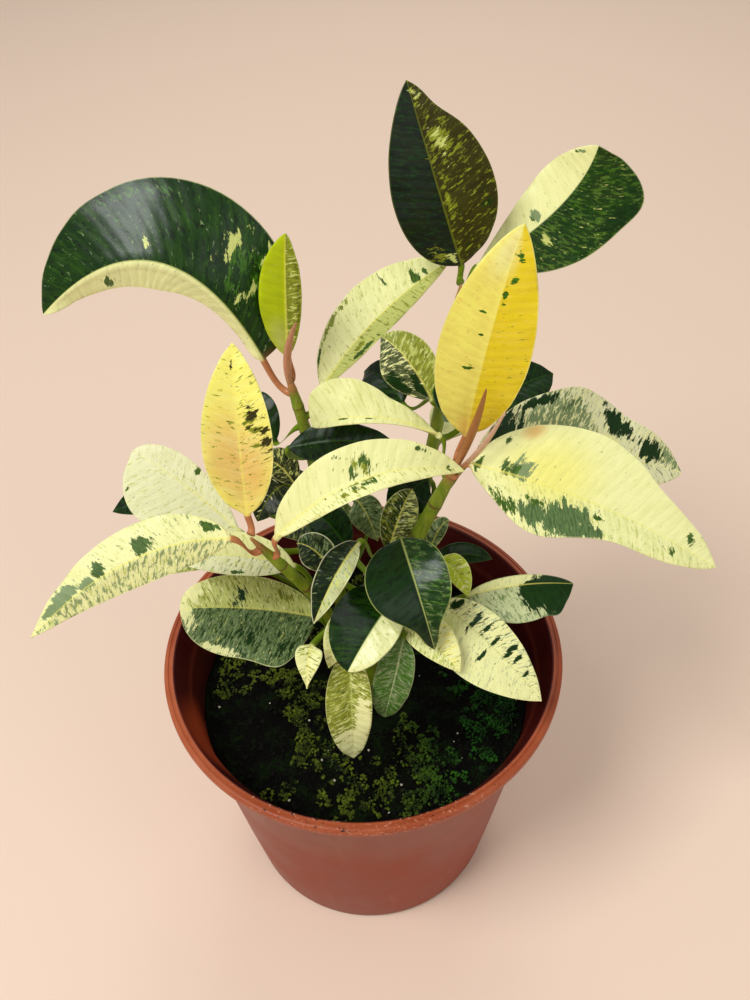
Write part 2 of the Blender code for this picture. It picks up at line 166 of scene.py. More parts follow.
# View and lamps, in metres: the eye is nearly half a metre up and looks down at 45 degrees
EYE = (0, -0.25897, 0.48670)
VIEW_RIGHT = (0.99855, -0.04927, -0.02172)
VIEW_UP = (0.05023, 0.70737, 0.70505)
VIEW_AHEAD = (0.01937, 0.70512, -0.70882)
LENS = 36.0
FLOOR_REACH = 3.0
FLOOR_DROP = 0.0005
AIR_GLOW = 0.34
LAMP_TARGET = (0, 0, 0.2)
LAMPS = (
    ("key", (-0.7, -0.5, 1.5), 0.7, 16),
    ("fill", (0.9, -0.9, 1.1), 1.2, 4),
    ("back", (0.2, 1.2, 1.2), 1.0, 5),
)


def paint(red, green, blue):
    """A colour picked on the 0 to 255 scale, as the linear value that a shader takes."""
    def linear(level):
        level = level / 255
        return level / 12.92 if level <= 0.04045 else ((level + 0.055) / 1.055) ** 2.4
    return (linear(red), linear(green), linear(blue), 1.0)


CREAM = paint(247, 246, 174)
WHITE_CREAM = paint(244, 243, 194)
PALE_YELLOW = paint(250, 240, 112)
DEEP_YELLOW = paint(230, 204, 26)
WARM_YELLOW = paint(240, 208, 100)
ORANGE = paint(228, 160, 80)
PEACH = paint(232, 184, 104)
OLIVE_CREAM = paint(206, 212, 118)
OLIVE = paint(124, 132, 30)
OLIVE_BROWN = paint(50, 46, 8)
LIME = paint(188, 206, 6)
LEAF_GREEN = paint(54, 96, 12)
DARK_GREEN = paint(14, 46, 4)
FLECK_GREEN = paint(64, 92, 28)
DEEP_GREEN = paint(5, 22, 3)
GREY_GREEN = paint(130, 150, 100)
SLATE_GREEN = paint(84, 108, 62)
GREY_CREAM = paint(206, 212, 158)
PINK = paint(192, 124, 78)
STEM_GREEN = paint(110, 136, 12)


@dataclass(frozen=True)
class Leaf:
    """One leaf, in millimetres and degrees. Left and right are seen from above, tip ahead.

    Each entry of edges draws one half in, or lets it out where the share is below 0, as
    (side, along, half length, share of the half width), side being -1 left or 1 right.
    """

    name: str
    stem: str
    at: float
    base: tuple
    tip: tuple
    face: tuple
    left: float
    right: float
    bulge: tuple = (0, 0, 4)
    fold: tuple = (12, 12)
    wave: float = 0.0
    belly: float = 0.45
    point: float = 1.5
    edges: tuple = ()


LEAVES = (
    # Front stem
    Leaf("leaf_low_left", "stem_front", 0.96, (-42, -34, 246), (-108, -55, 226), (-0.1, -0.5, 0.8), 10,
         11, bulge=(0, 4, 8), fold=(-40, 5), belly=0.4),
    Leaf("leaf_yellow_small", "stem_front", 1.0, (-36, -27, 250), (-36, -2, 301), (0, -0.8, 0.6), 12, 11,
         bulge=(0, -4, 2)),
    Leaf("leaf_cream_middle", "stem_front", 0.93, (-27, -31, 242), (37, -16, 254), (0, -0.5, 0.85), 12, 6,
         bulge=(-2, -3, 15), belly=0.45),
    Leaf("leaf_wide_low_left", "stem_front", 0.5, (-18, -10, 172), (-70, -12, 184), (0.1, -0.5, 0.85), 20,
         13, bulge=(0, 0, 3), belly=0.55, point=1.0, edges=((-1, 0.2, 0.2, -0.4),)),
    Leaf("leaf_grey_left", "stem_front", 0.66, (-25, -5, 198), (-71, -8, 209), (0.1, -0.5, 0.85), 8, 9),
    # Left stem
    Leaf("leaf_upper_middle", "stem_left", 0.85, (-10, 22, 262), (38, 54, 292), (-0.3, -0.6, 0.7), 14, 6,
         bulge=(-3, 0, 3), fold=(5, -20), belly=0.5),
    Leaf("leaf_arching_dark", "stem_left", 0.95, (-30, 24, 275), (-104, 35, 290), (0, -0.6, 0.8), 12, 29,
         bulge=(6, 0, 29), fold=(-60, 8), belly=0.4, point=1.1, edges=((-1, 0.15, 0.2, 0.4),)),
    Leaf("leaf_young_lime", "stem_left", 1.0, (-21, 22, 277), (-18, 26, 322), (-0.1, -0.8, 0.5), 9, 6,
         fold=(20, 20)),
    Leaf("leaf_cream_back_left", "stem_left", 0.56, (-45, 5, 208), (-83, 25, 234), (0.1, -0.6, 0.8), 21,
         9, bulge=(0, 0, 3), belly=0.6),
    Leaf("leaf_olive_left", "stem_left", 0.46, (-46, 1, 195), (-89, 5, 190), (0, -0.5, 0.85), 6, 8,
         belly=0.6),
    Leaf("leaf_dark_left", "stem_left", 0.6, (-54, 16, 216), (-94, 16, 211), (0, -0.5, 0.85), 7, 8),
    Leaf("leaf_dark_behind", "stem_left", 0.74, (-23, 12, 243), (17, 6, 245), (0, -0.5, 0.85), 7, 9,
         bulge=(0, 0, 4)),
    Leaf("leaf_small_dark", "stem_left", 0.82, (-29, 22, 238), (-36, 36, 250), (0, -0.6, 0.8), 5, 5),
    Leaf("leaf_curled_back", "stem_left", 0.65, (-23, 16, 221), (-34, 20, 230), (0, -0.6, 0.8), 5, 7),
    # Right stem
    Leaf("leaf_pale_middle", "stem_right", 0.96, (31, 7, 250), (-14, 6, 259), (0.1, -0.5, 0.85), 3, 14,
         bulge=(0, 0, 6), belly=0.75, edges=((1, 0.35, 0.2, 0.25),)),
    Leaf("leaf_yellow_tall", "stem_right", 1.0, (40, 4, 253), (55, 10, 331), (-0.1, -0.8, 0.55), 16, 15,
         bulge=(-2, -4, 2)),
    Leaf("leaf_big_right", "stem_right", 0.97, (41, -3, 245), (126, -32, 216), (0.1, -0.5, 0.85), 24, 16,
         bulge=(0, 0, 6), belly=0.45,
         edges=((-1, 0.78, 0.2, 0.3), (1, 0.27, 0.18, -0.4), (1, 0.62, 0.2, 0.25))),
    Leaf("leaf_mottled_right", "stem_right", 0.93, (44, 8, 236), (132, 28, 205), (0.1, -0.5, 0.85), 26,
         14, bulge=(0, 0, 6), belly=0.5, wave=1.5, edges=((-1, 0.78, 0.16, 0.3),)),
    Leaf("leaf_dark_right", "stem_back", 0.66, (48, 38, 232), (82, 58, 235), (0, -0.5, 0.85), 12, 12,
         bulge=(0, 0, 3)),
    Leaf("leaf_little_grey", "stem_right", 0.66, (28, 4, 192), (36, 10, 203), (0, -0.7, 0.7), 4, 3),
    Leaf("leaf_dark_strip_right", "stem_right", 0.6, (29, 4, 185), (54, 8, 181), (0, -0.6, 0.8), 5, 4),
    Leaf("leaf_little_lime", "stem_right", 0.62, (32, -3, 194), (41, -18, 190), (0, -0.6, 0.8), 6, 4),
    Leaf("leaf_low_right", "stem_right", 0.55, (42, -12, 183), (84, -8, 182), (0, -0.6, 0.8), 4, 15,
         bulge=(0, 0, 3), point=1.2, edges=((1, 0.85, 0.1, -0.3),)),
    # Back stem
    Leaf("leaf_top_dark", "stem_back", 1.0, (41, 45, 296), (23, 62, 354), (0, -0.75, 0.65), 17, 19,
         bulge=(0, -3, 0), belly=0.42, edges=((1, 0.88, 0.1, 0.25),)),
    Leaf("leaf_top_right", "stem_back", 0.98, (47, 46, 294), (88, 60, 330), (-0.3, -0.7, 0.6), 13, 21,
         bulge=(8, 4, -3), fold=(5, -20), belly=0.58, edges=((1, 0.85, 0.15, -0.35),)),
    Leaf("leaf_small_two_tone", "stem_back", 0.8, (29, 18, 258), (12, 32, 276), (0, -0.7, 0.7), 11, 9,
         fold=(-20, 10)),
    Leaf("leaf_dark_back_middle", "stem_back", 0.75, (19, 26, 250), (6, 46, 250), (0, -0.6, 0.8), 8, 8),
    Leaf("leaf_back_left", "stem_back", 0.5, (11, 50, 194), (-14, 84, 186), (0, 0.5, 0.85), 12, 12,
         bulge=(0, 0, 6)),
    Leaf("leaf_back_right", "stem_back", 0.55, (37, 60, 200), (66, 96, 190), (0.2, 0.4, 0.85), 14, 14,
         bulge=(0, 0, 6)),
    Leaf("leaf_dark_core", "stem_back", 0.48, (29, 29, 207), (14, 17, 197), (0, -0.7, 0.7), 10, 9),
    Leaf("leaf_back_low", "stem_left", 0.4, (-18, 44, 186), (-46, 64, 178), (-0.2, 0.3, 0.85), 10, 10,
         bulge=(0, 0, 4)),
    # Middle stem
    Leaf("leaf_dark_drooping", "stem_middle", 1.0, (16, -12, 217), (26, -42, 190), (0, -0.7, 0.7), 13, 18,
         bulge=(0, -6, 6), belly=0.35, point=1.55, edges=((1, 0.8, 0.18, 0.45), (-1, 0.8, 0.15, 0.35))),
    Leaf("leaf_dark_and_cream", "stem_middle", 0.95, (14, -22, 198), (-6, -46, 185), (0, -0.6, 0.8), 10,
         16, bulge=(0, 0, 3), belly=0.5, point=1.2),
    Leaf("leaf_wavy_cream", "stem_middle", 0.98, (0, -18, 223), (-17, -38, 204), (0, -0.6, 0.8), 5, 7,
         bulge=(0, 0, 4), wave=1.5),
    Leaf("leaf_cream_under", "stem_middle", 0.88, (-5, -27, 195), (-13, -41, 181), (0, -0.6, 0.8), 6, 5),
    Leaf("leaf_small_pointed", "stem_middle", 0.8, (-19, -39, 191), (-21, -51, 183), (0, -0.6, 0.8), 5, 5,
         belly=0.35, point=1.8),
    Leaf("leaf_flecked_right", "stem_middle", 0.9, (30, -19, 188), (66, -50, 165), (0, -0.6, 0.8), 10, 17,
         bulge=(0, 0, 4), belly=0.42),
    Leaf("leaf_cream_low", "stem_middle", 0.85, (15, -27, 187), (35, -46, 181), (0, -0.6, 0.8), 9, 6),
    Leaf("leaf_puckered_front", "stem_middle", 0.7, (-5, -36, 183), (-6, -50, 132), (0, -0.8, 0.6), 8, 10,
         bulge=(0, -4, 4), belly=0.45, point=1.2),
    Leaf("leaf_grey_front", "stem_middle", 0.6, (15, -34, 186), (7, -44, 151), (0, -0.8, 0.6), 7, 8,
         point=1.0, bulge=(0, -3, 3)),
    Leaf("leaf_yellow_inner", "stem_middle", 0.92, (12, 2, 196), (22, 14, 217), (0, -0.7, 0.7), 7, 7),
    Leaf("leaf_dark_inner", "stem_middle", 0.84, (-4, 4, 196), (-20, 12, 213), (0, -0.7, 0.7), 7, 8),
    Leaf("leaf_curled_inner", "stem_middle", 0.78, (-10, -8, 197), (-23, 0, 205), (0, -0.7, 0.7), 7, 7),
    # Small leaves crowded in the middle
    Leaf("leaf_inner_green", "stem_left", 0.46, (0, 30, 187), (-34, 33, 176), (0, -0.6, 0.8), 10, 9),
    Leaf("leaf_inner_grey", "stem_left", 0.56, (0, 22, 205), (8, 15, 188), (0, -0.7, 0.7), 7, 7),
    Leaf("leaf_inner_brown", "stem_left", 0.68, (-27, 20, 217), (-38, 8, 210), (0, -0.7, 0.7), 8, 7),
    Leaf("leaf_upper_dark", "stem_back", 0.72, (37, 20, 250), (31, 7, 262), (0, -0.7, 0.7), 7, 8),
)


@dataclass
class Coat:
    """One colour splashed over the ground: how much of each half it flecks, and its larger patches.

    A patch is (across, along, half size across, half size along), across running from -1 left
    to 1 right and along from 0 at the stalk to 1 at the tip. A solid near 0.4 fills the patches,
    and near 0.2 leaves them mottled.
    """

    colour: tuple
    left: float = 0.0
    right: float = 0.0
    patches: tuple = ()
    solid: float = 0.38


@dataclass
class Look:
    """The colours of one leaf. Blushes are soft stains, as (across, along, sizes, colour)."""

    left: tuple = CREAM
    right: tuple = CREAM
    coats: tuple = ()
    blushes: tuple = ()
    veins: tuple = OLIVE_CREAM
    vein_share: tuple = (0.16, 0.16)
    midrib: tuple = PALE_YELLOW
    rim: tuple = CREAM
    rim_share: float = 0.35
    stalk: tuple = STEM_GREEN
    gloss: float = 0.45
    varnish: float = 0.06


DARK_LEAF = Look(DARK_GREEN, DARK_GREEN, veins=LEAF_GREEN, midrib=LEAF_GREEN, rim=LEAF_GREEN, gloss=0.34,
    coats=(
    Coat(LEAF_GREEN, 0.03, 0.03),
    Coat(DEEP_GREEN, 0.2, 0.2)))
CREAM_LEAF = Look(coats=(
    Coat(OLIVE_CREAM, 0.1, 0.1),
    Coat(GREY_GREEN, 0.04, 0.04),
    Coat(FLECK_GREEN, 0.03, 0.03)))
GREY_LEAF = Look(GREY_CREAM, GREY_CREAM, coats=(
    Coat(GREY_GREEN, 0.5, 0.5),
    Coat(SLATE_GREEN, 0.25, 0.25),
    Coat(DARK_GREEN, 0.12, 0.12)))

LOOKS = {
    "leaf_low_left": Look(stalk=PINK, coats=(
        Coat(OLIVE_CREAM, 0.12, 0.08, ((-0.4, 0.3, 0.6, 0.2),), 0.14),
        Coat(GREY_GREEN, 0.16, 0.06, ((0.35, 0.84, 0.55, 0.12), (0.1, 0.7, 0.3, 0.04))),
        Coat(FLECK_GREEN, 0.02, 0.02, ((0.25, 0.63, 0.36, 0.035), (0.3, 0.42, 0.34, 0.06),
             (0.65, 0.09, 0.3, 0.05))))),
    "leaf_yellow_small": Look(PALE_YELLOW, PALE_YELLOW, stalk=PINK, midrib=PALE_YELLOW, veins=CREAM,
        blushes=((0.0, 0.2, 1.3, 0.5, WARM_YELLOW), (-0.4, 0.4, 0.9, 0.4, PEACH),
        (0.4, 0.3, 0.9, 0.35, PEACH)), coats=(
        Coat(OLIVE, 0.06, 0.07, ((0.45, 0.54, 0.6, 0.26),), 0.22),
        Coat(OLIVE_BROWN, 0.026, 0.032, ((0.45, 0.62, 0.4, 0.14), (0.8, 0.48, 0.3, 0.18),
             (-0.15, 0.88, 0.16, 0.04)), 0.27))),
    "leaf_cream_middle": Look(stalk=PINK, vein_share=(0.2, 0.1), coats=(
        Coat(OLIVE_CREAM, 0.04, 0.1, ((-0.6, 0.3, 0.5, 0.2),), 0.14),
        Coat(OLIVE, 0.03, 0.05, ((-0.35, 0.5, 0.55, 0.08), (0.14, 0.42, 0.16, 0.26),
             (0.5, 0.42, 0.3, 0.14)), 0.26),
        Coat(FLECK_GREEN, 0.02, 0.03, ((-0.45, 0.53, 0.5, 0.04), (-0.2, 0.46, 0.3, 0.035),
             (-0.75, 0.8, 0.25, 0.05), (-0.8, 0.42, 0.15, 0.03), (0.35, 0.5, 0.25, 0.1),
             (0.1, 0.93, 0.6, 0.03)), 0.28))),
    "leaf_wide_low_left": Look(GREY_GREEN, OLIVE_CREAM, veins=GREY_CREAM, vein_share=(0.4, 0.2),
        rim=CREAM, rim_share=0.6, coats=(
        Coat(OLIVE_CREAM, 0.12, 0.1, ((-0.4, 0.25, 0.4, 0.14), (-0.5, 0.7, 0.4, 0.12)), 0.2),
        Coat(SLATE_GREEN, 0.45, 0.06, ((-0.5, 0.42, 0.6, 0.34),), 0.24),
        Coat(OLIVE, 0.05, 0.12, ((0.6, 0.25, 0.5, 0.2), (0.4, 0.8, 0.4, 0.14)), 0.2),
        Coat(DARK_GREEN, 0.16, 0.05, ((-0.55, 0.52, 0.45, 0.24), (-0.7, 0.22, 0.3, 0.14),
             (0.4, 0.56, 0.4, 0.1), (0.1, 0.62, 0.25, 0.07)), 0.26),
        Coat(GREY_GREEN, 0.12, 0.02, ((-0.3, 0.6, 0.3, 0.05), (-0.75, 0.4, 0.2, 0.06)), 0.26),
        Coat(CREAM, 0.03, 0.08, ((-0.2, 0.97, 1.0, 0.1), (-0.92, 0.72, 0.14, 0.2),
             (0.7, 0.9, 0.6, 0.14)), 0.34))),
    "leaf_grey_left": Look(WHITE_CREAM, CREAM, coats=(
        Coat(OLIVE_CREAM, 0.1, 0.1),
        Coat(GREY_GREEN, 0.1, 0.04, ((-0.5, 0.5, 0.4, 0.2),), 0.18),
        Coat(FLECK_GREEN, 0.02, 0.02, ((-0.85, 0.45, 0.1, 0.08),)))),
    "leaf_upper_middle": Look(CREAM, OLIVE_CREAM, vein_share=(0.22, 0.1), coats=(
        Coat(OLIVE_CREAM, 0.08, 0.1, ((-0.5, 0.2, 0.8, 0.25),), 0.16),
        Coat(OLIVE, 0.04, 0.1, ((0.4, 0.33, 0.25, 0.08), (-0.9, 0.3, 0.12, 0.25)), 0.3),
        Coat(FLECK_GREEN, 0.035, 0.03, ((-0.2, 0.8, 0.5, 0.035), (-0.2, 0.86, 0.3, 0.02),
             (-0.6, 0.66, 0.35, 0.014), (0.75, 0.3, 0.18, 0.2), (-0.9, 0.12, 0.1, 0.12)), 0.32))),
    "leaf_arching_dark": Look(CREAM, DARK_GREEN, stalk=PINK, veins=LEAF_GREEN, midrib=OLIVE_CREAM,
        gloss=0.3, varnish=0.2, vein_share=(0.1, 0.3), coats=(
        Coat(LEAF_GREEN, 0.01, 0.05, ((0.45, 0.22, 0.6, 0.16), (0.85, 0.6, 0.15, 0.2)), 0.24),
        Coat(DEEP_GREEN, 0.0, 0.1, ((0.8, 0.6, 0.25, 0.4),), 0.2),
        Coat(GREY_GREEN, 0.03, 0.04, ((0.4, 0.3, 0.5, 0.05), (0.4, 0.22, 0.5, 0.03)), 0.16),
        Coat(OLIVE_CREAM, 0.0, 0.006, ((0.6, 0.3, 0.4, 0.05), (0.75, 0.17, 0.25, 0.12),
             (0.2, 0.55, 0.15, 0.03), (0.3, 0.18, 0.3, 0.03)), 0.24),
        Coat(FLECK_GREEN, 0.02, 0.0, ((-0.6, 0.75, 0.4, 0.04),), 0.3))),
    "leaf_young_lime": Look(LIME, OLIVE, veins=OLIVE, vein_share=(0.08, 0.2), midrib=PALE_YELLOW,
        rim=LIME, stalk=PINK, blushes=((0.9, 0.5, 0.4, 0.6, OLIVE_BROWN),
        (-0.4, 0.1, 0.8, 0.25, OLIVE_CREAM)), coats=(
        Coat(OLIVE, 0.0, 0.25),
        Coat(OLIVE_CREAM, 0.03, 0.1))),
    "leaf_cream_back_left": Look(WHITE_CREAM, WHITE_CREAM, vein_share=(0.1, 0.1), coats=(
        Coat(OLIVE_CREAM, 0.08, 0.08),
        Coat(GREY_GREEN, 0.03, 0.04, ((0.3, 0.6, 0.5, 0.2),), 0.12),
        Coat(FLECK_GREEN, 0.03, 0.04, ((-0.6, 0.2, 0.2, 0.03), (-0.85, 0.85, 0.15, 0.04),
             (0.85, 0.5, 0.3, 0.04)), 0.3))),
    "leaf_olive_left": Look(OLIVE_CREAM, OLIVE_CREAM, coats=(
        Coat(OLIVE, 0.4, 0.4),
        Coat(SLATE_GREEN, 0.1, 0.1))),
    "leaf_pale_middle": Look(CREAM, CREAM, vein_share=(0.2, 0.45), coats=(
        Coat(OLIVE_CREAM, 0.1, 0.06),
        Coat(GREY_GREEN, 0.01, 0.015),
        Coat(FLECK_GREEN, 0.01, 0.006, ((-0.2, 0.76, 0.15, 0.04), (-0.3, 0.55, 0.15, 0.05))))),
    "leaf_yellow_tall": Look(PALE_YELLOW, DEEP_YELLOW, veins=WARM_YELLOW, vein_share=(0.2, 0.15),
        stalk=PINK, blushes=((0.0, 0.0, 1.2, 0.16, ORANGE), (-0.3, 0.9, 0.8, 0.2, CREAM)), coats=(
        Coat(WARM_YELLOW, 0.05, 0.04),
        Coat(OLIVE, 0.025, 0.05),
        Coat(LEAF_GREEN, 0.008, 0.01, ((0.35, 0.88, 0.3, 0.035), (0.28, 0.78, 0.18, 0.035),
             (0.1, 0.7, 0.1, 0.05), (-0.25, 0.36, 0.16, 0.012), (-0.2, 0.52, 0.13, 0.012),
             (-0.3, 0.62, 0.15, 0.01)), 0.3))),
    "leaf_big_right": Look(blushes=((-0.2, 0.3, 0.9, 0.28, PALE_YELLOW), (-0.9, 0.2, 0.25, 0.06, ORANGE)),
        stalk=PINK, coats=(
        Coat(OLIVE_CREAM, 0.03, 0.1, ((0.5, 0.7, 0.5, 0.2),), 0.16),
        Coat(GREY_GREEN, 0.02, 0.04, ((-0.15, 0.2, 0.32, 0.07),), 0.32),
        Coat(SLATE_GREEN, 0.0, 0.03, ((0.6, 0.4, 0.5, 0.14), (0.65, 0.28, 0.3, 0.08),
             (0.85, 0.48, 0.3, 0.1)), 0.38),
        Coat(FLECK_GREEN, 0.02, 0.03, ((-0.1, 0.15, 0.3, 0.05), (0.85, 0.16, 0.35, 0.1),
             (0.4, 0.27, 0.12, 0.06), (-0.8, 0.12, 0.14, 0.02), (0.4, 0.83, 0.4, 0.035),
             (0.4, 0.52, 0.1, 0.05), (-0.5, 0.87, 0.4, 0.03), (-0.1, 0.03, 0.8, 0.03)), 0.3))),
    "leaf_mottled_right": Look(WHITE_CREAM, WHITE_CREAM, coats=(
        Coat(GREY_GREEN, 0.08, 0.08, ((-0.5, 0.38, 0.6, 0.2), (-0.5, 0.93, 0.5, 0.1)), 0.36),
        Coat(SLATE_GREEN, 0.02, 0.02, ((-0.75, 0.45, 0.2, 0.08), (-0.5, 0.86, 0.4, 0.04)), 0.26),
        Coat(CREAM, 0.15, 0.1, ((-0.35, 0.62, 0.35, 0.07), (-0.25, 0.3, 0.1, 0.14),
             (-0.2, 0.78, 0.2, 0.05)), 0.3),
        Coat(DARK_GREEN, 0.04, 0.08, ((-0.7, 0.66, 0.32, 0.09), (-0.45, 0.82, 0.5, 0.08),
             (-0.6, 0.12, 0.6, 0.14), (0.4, 0.12, 0.6, 0.16), (-0.9, 0.3, 0.12, 0.1)), 0.36))),
    "leaf_little_lime": Look(OLIVE_CREAM, LIME, coats=(
        Coat(LIME, 0.3, 0.0),
        Coat(OLIVE, 0.08, 0.08),
        Coat(CREAM, 0.1, 0.1))),
    "leaf_low_right": Look(CREAM, GREY_GREEN, rim=GREY_GREEN, coats=(
        Coat(GREY_CREAM, 0.1, 0.35, ((0.7, 0.5, 0.2, 0.2),), 0.25),
        Coat(LEAF_GREEN, 0.02, 0.06, ((0.3, 0.3, 0.2, 0.1),), 0.2),
        Coat(DARK_GREEN, 0.005, 0.04, ((0.0, 0.86, 1.3, 0.24), (0.2, 0.62, 0.6, 0.14)), 0.55))),
    "leaf_top_dark": Look(DEEP_GREEN, OLIVE_BROWN, veins=OLIVE, vein_share=(0.03, 0.08), midrib=OLIVE,
        rim=OLIVE, gloss=0.42, coats=(
        Coat(DARK_GREEN, 0.15, 0.05, ((0.8, 0.3, 0.3, 0.3), (-0.4, 0.6, 0.4, 0.2)), 0.2),
        Coat(LEAF_GREEN, 0.012, 0.02),
        Coat(OLIVE, 0.003, 0.1, ((0.35, 0.7, 0.5, 0.2), (-0.6, 0.1, 0.5, 0.1),
             (0.12, 0.4, 0.12, 0.25)), 0.25),
        Coat(OLIVE_CREAM, 0.0015, 0.02, ((-0.35, 0.05, 0.4, 0.06), (0.35, 0.93, 0.8, 0.07),
             (0.35, 0.68, 0.3, 0.12)), 0.24))),
    "leaf_top_right": Look(CREAM, LEAF_GREEN, midrib=CREAM, veins=OLIVE_CREAM, vein_share=(0.14, 0.1),
        coats=(
        Coat(GREY_GREEN, 0.03, 0.0, ((-0.3, 0.38, 0.28, 0.04), (-0.65, 0.92, 0.25, 0.02)), 0.34),
        Coat(FLECK_GREEN, 0.012, 0.0, ((-0.25, 0.35, 0.18, 0.02), (-0.8, 0.9, 0.2, 0.02)), 0.3),
        Coat(DARK_GREEN, 0.0, 0.3, ((0.85, 0.7, 0.3, 0.25),), 0.3),
        Coat(OLIVE_CREAM, 0.03, 0.04, ((0.6, 0.6, 0.3, 0.03), (0.3, 0.35, 0.3, 0.03)), 0.22))),
    "leaf_small_two_tone": Look(CREAM, OLIVE_CREAM, coats=(
        Coat(OLIVE, 0.05, 0.3),
        Coat(DARK_GREEN, 0.3, 0.03, ((-0.75, 0.3, 0.35, 0.3), (-0.2, 0.15, 0.3, 0.2))))),
    "leaf_dark_drooping": Look(SLATE_GREEN, DARK_GREEN, veins=OLIVE_CREAM, vein_share=(0.12, 0.0),
        midrib=OLIVE_CREAM, rim=OLIVE_CREAM, rim_share=0.5, gloss=0.3, varnish=0.15, coats=(
        Coat(LEAF_GREEN, 0.2, 0.0, ()),
        Coat(OLIVE_CREAM, 0.03, 0.0008),
        Coat(DARK_GREEN, 0.3, 0.0, ((-0.6, 0.75, 0.4, 0.12), (-0.7, 0.2, 0.3, 0.15)), 0.34),
        Coat(LEAF_GREEN, 0.02, 0.012),
        Coat(DEEP_GREEN, 0.0, 0.15))),
    "leaf_dark_and_cream": Look(CREAM, DARK_GREEN, midrib=LEAF_GREEN, rim=LEAF_GREEN, gloss=0.26,
        varnish=0.25, veins=LEAF_GREEN, vein_share=(0.05, 0.3), coats=(
        Coat(OLIVE_CREAM, 0.1, 0.0),
        Coat(LEAF_GREEN, 0.03, 0.02),
        Coat(DEEP_GREEN, 0.0, 0.15),
        Coat(FLECK_GREEN, 0.03, 0.0))),
    "leaf_wavy_cream": Look(GREY_CREAM, DARK_GREEN, rim=WHITE_CREAM, rim_share=0.7, veins=OLIVE,
        vein_share=(0.2, 0.1), coats=(
        Coat(OLIVE_CREAM, 0.2, 0.02),
        Coat(GREY_GREEN, 0.1, 0.1),
        Coat(DEEP_GREEN, 0.0, 0.3),
        Coat(DARK_GREEN, 0.03, 0.0))),
    "leaf_cream_under": Look(coats=(Coat(OLIVE_CREAM, 0.15, 0.15), Coat(OLIVE_BROWN, 0.03, 0.03))),
    "leaf_small_pointed": Look(coats=(
        Coat(OLIVE_CREAM, 0.15, 0.15),
        Coat(OLIVE, 0.1, 0.1, ((-0.2, 0.35, 0.5, 0.16),), 0.2),
        Coat(FLECK_GREEN, 0.05, 0.05))),
    "leaf_flecked_right": Look(rim=CREAM, vein_share=(0.1, 0.1), midrib=OLIVE_CREAM,
        blushes=((0.35, 0.15, 0.5, 0.15, OLIVE_CREAM),), coats=(
        Coat(GREY_CREAM, 0.15, 0.1),
        Coat(GREY_GREEN, 0.05, 0.03),
        Coat(DARK_GREEN, 0.1, 0.045, ((-0.6, 0.12, 0.5, 0.07), (-0.3, 0.3, 0.6, 0.03),
             (-0.4, 0.4, 0.5, 0.02), (-0.5, 0.62, 0.65, 0.03), (-0.5, 0.69, 0.4, 0.02),
             (-0.25, 0.5, 0.5, 0.02), (0.3, 0.5, 0.3, 0.02), (-0.4, 0.8, 0.4, 0.02)), 0.34))),
    "leaf_cream_low": Look(PALE_YELLOW, OLIVE_CREAM, coats=(
        Coat(CREAM, 0.4, 0.3),
        Coat(OLIVE, 0.08, 0.12),
        Coat(OLIVE_BROWN, 0.04, 0.04, ((0.1, 0.45, 0.35, 0.06),)))),
    "leaf_puckered_front": Look(OLIVE_CREAM, OLIVE_CREAM, vein_share=(0.5, 0.5), midrib=OLIVE_CREAM,
        coats=(
        Coat(OLIVE, 0.3, 0.4, ((0.4, 0.3, 0.7, 0.25), (-0.3, 0.12, 0.6, 0.1)), 0.2),
        Coat(LEAF_GREEN, 0.05, 0.06),
        Coat(CREAM, 0.12, 0.05, ((-0.6, 0.62, 0.5, 0.3), (0.0, 0.85, 1.3, 0.24)), 0.4),
        Coat(OLIVE_BROWN, 0.02, 0.04))),
    "leaf_grey_front": Look(SLATE_GREEN, SLATE_GREEN, veins=GREY_CREAM, vein_share=(0.3, 0.3),
        rim=GREY_CREAM, midrib=GREY_CREAM, coats=(
        Coat(LEAF_GREEN, 0.4, 0.4),
        Coat(GREY_CREAM, 0.05, 0.05),
        Coat(GREY_GREEN, 0.15, 0.15))),
    "leaf_yellow_inner": Look(OLIVE, OLIVE_CREAM, coats=(
        Coat(OLIVE_BROWN, 0.25, 0.25),
        Coat(GREY_CREAM, 0.1, 0.1),
        Coat(DARK_GREEN, 0.2, 0.15))),
    "leaf_curled_inner": Look(DARK_GREEN, DARK_GREEN, rim=WHITE_CREAM, rim_share=0.8, coats=(
        Coat(GREY_GREEN, 0.15, 0.2),
        Coat(DEEP_GREEN, 0.3, 0.2))),
    "leaf_curled_back": Look(OLIVE_BROWN, OLIVE_BROWN, coats=(
        Coat(OLIVE_CREAM, 0.25, 0.25),
        Coat(DEEP_GREEN, 0.3, 0.3))),
    "leaf_inner_green": Look(DARK_GREEN, LEAF_GREEN, veins=OLIVE_CREAM, vein_share=(0.3, 0.5),
        midrib=GREY_CREAM, coats=(
        Coat(DEEP_GREEN, 0.3, 0.15),
        Coat(GREY_GREEN, 0.12, 0.2),
        Coat(OLIVE_CREAM, 0.04, 0.1))),
    "leaf_inner_brown": Look(DEEP_GREEN, OLIVE_BROWN, midrib=OLIVE, rim=GREY_GREEN, coats=(
        Coat(DEEP_GREEN, 0.3, 0.4),
        Coat(GREY_CREAM, 0.05, 0.06))),
    "leaf_inner_grey": GREY_LEAF,
    "leaf_little_grey": GREY_LEAF,
    "leaf_back_right": CREAM_LEAF,
}


# Shared makers


def put(name, shape, material, smooth_angle=60):
    """Turns a finished bmesh into a piece of the scene."""
    mesh = bpy.data.meshes.new(name)
    shape.to_mesh(mesh)
    shape.free()
    mesh.materials.append(material)
    mesh.shade_smooth()
    mesh.set_sharp_from_angle(angle=math.radians(smooth_angle))
    piece = bpy.data.objects.new(name, mesh)
    bpy.context.scene.collection.objects.link(piece)
    return piece


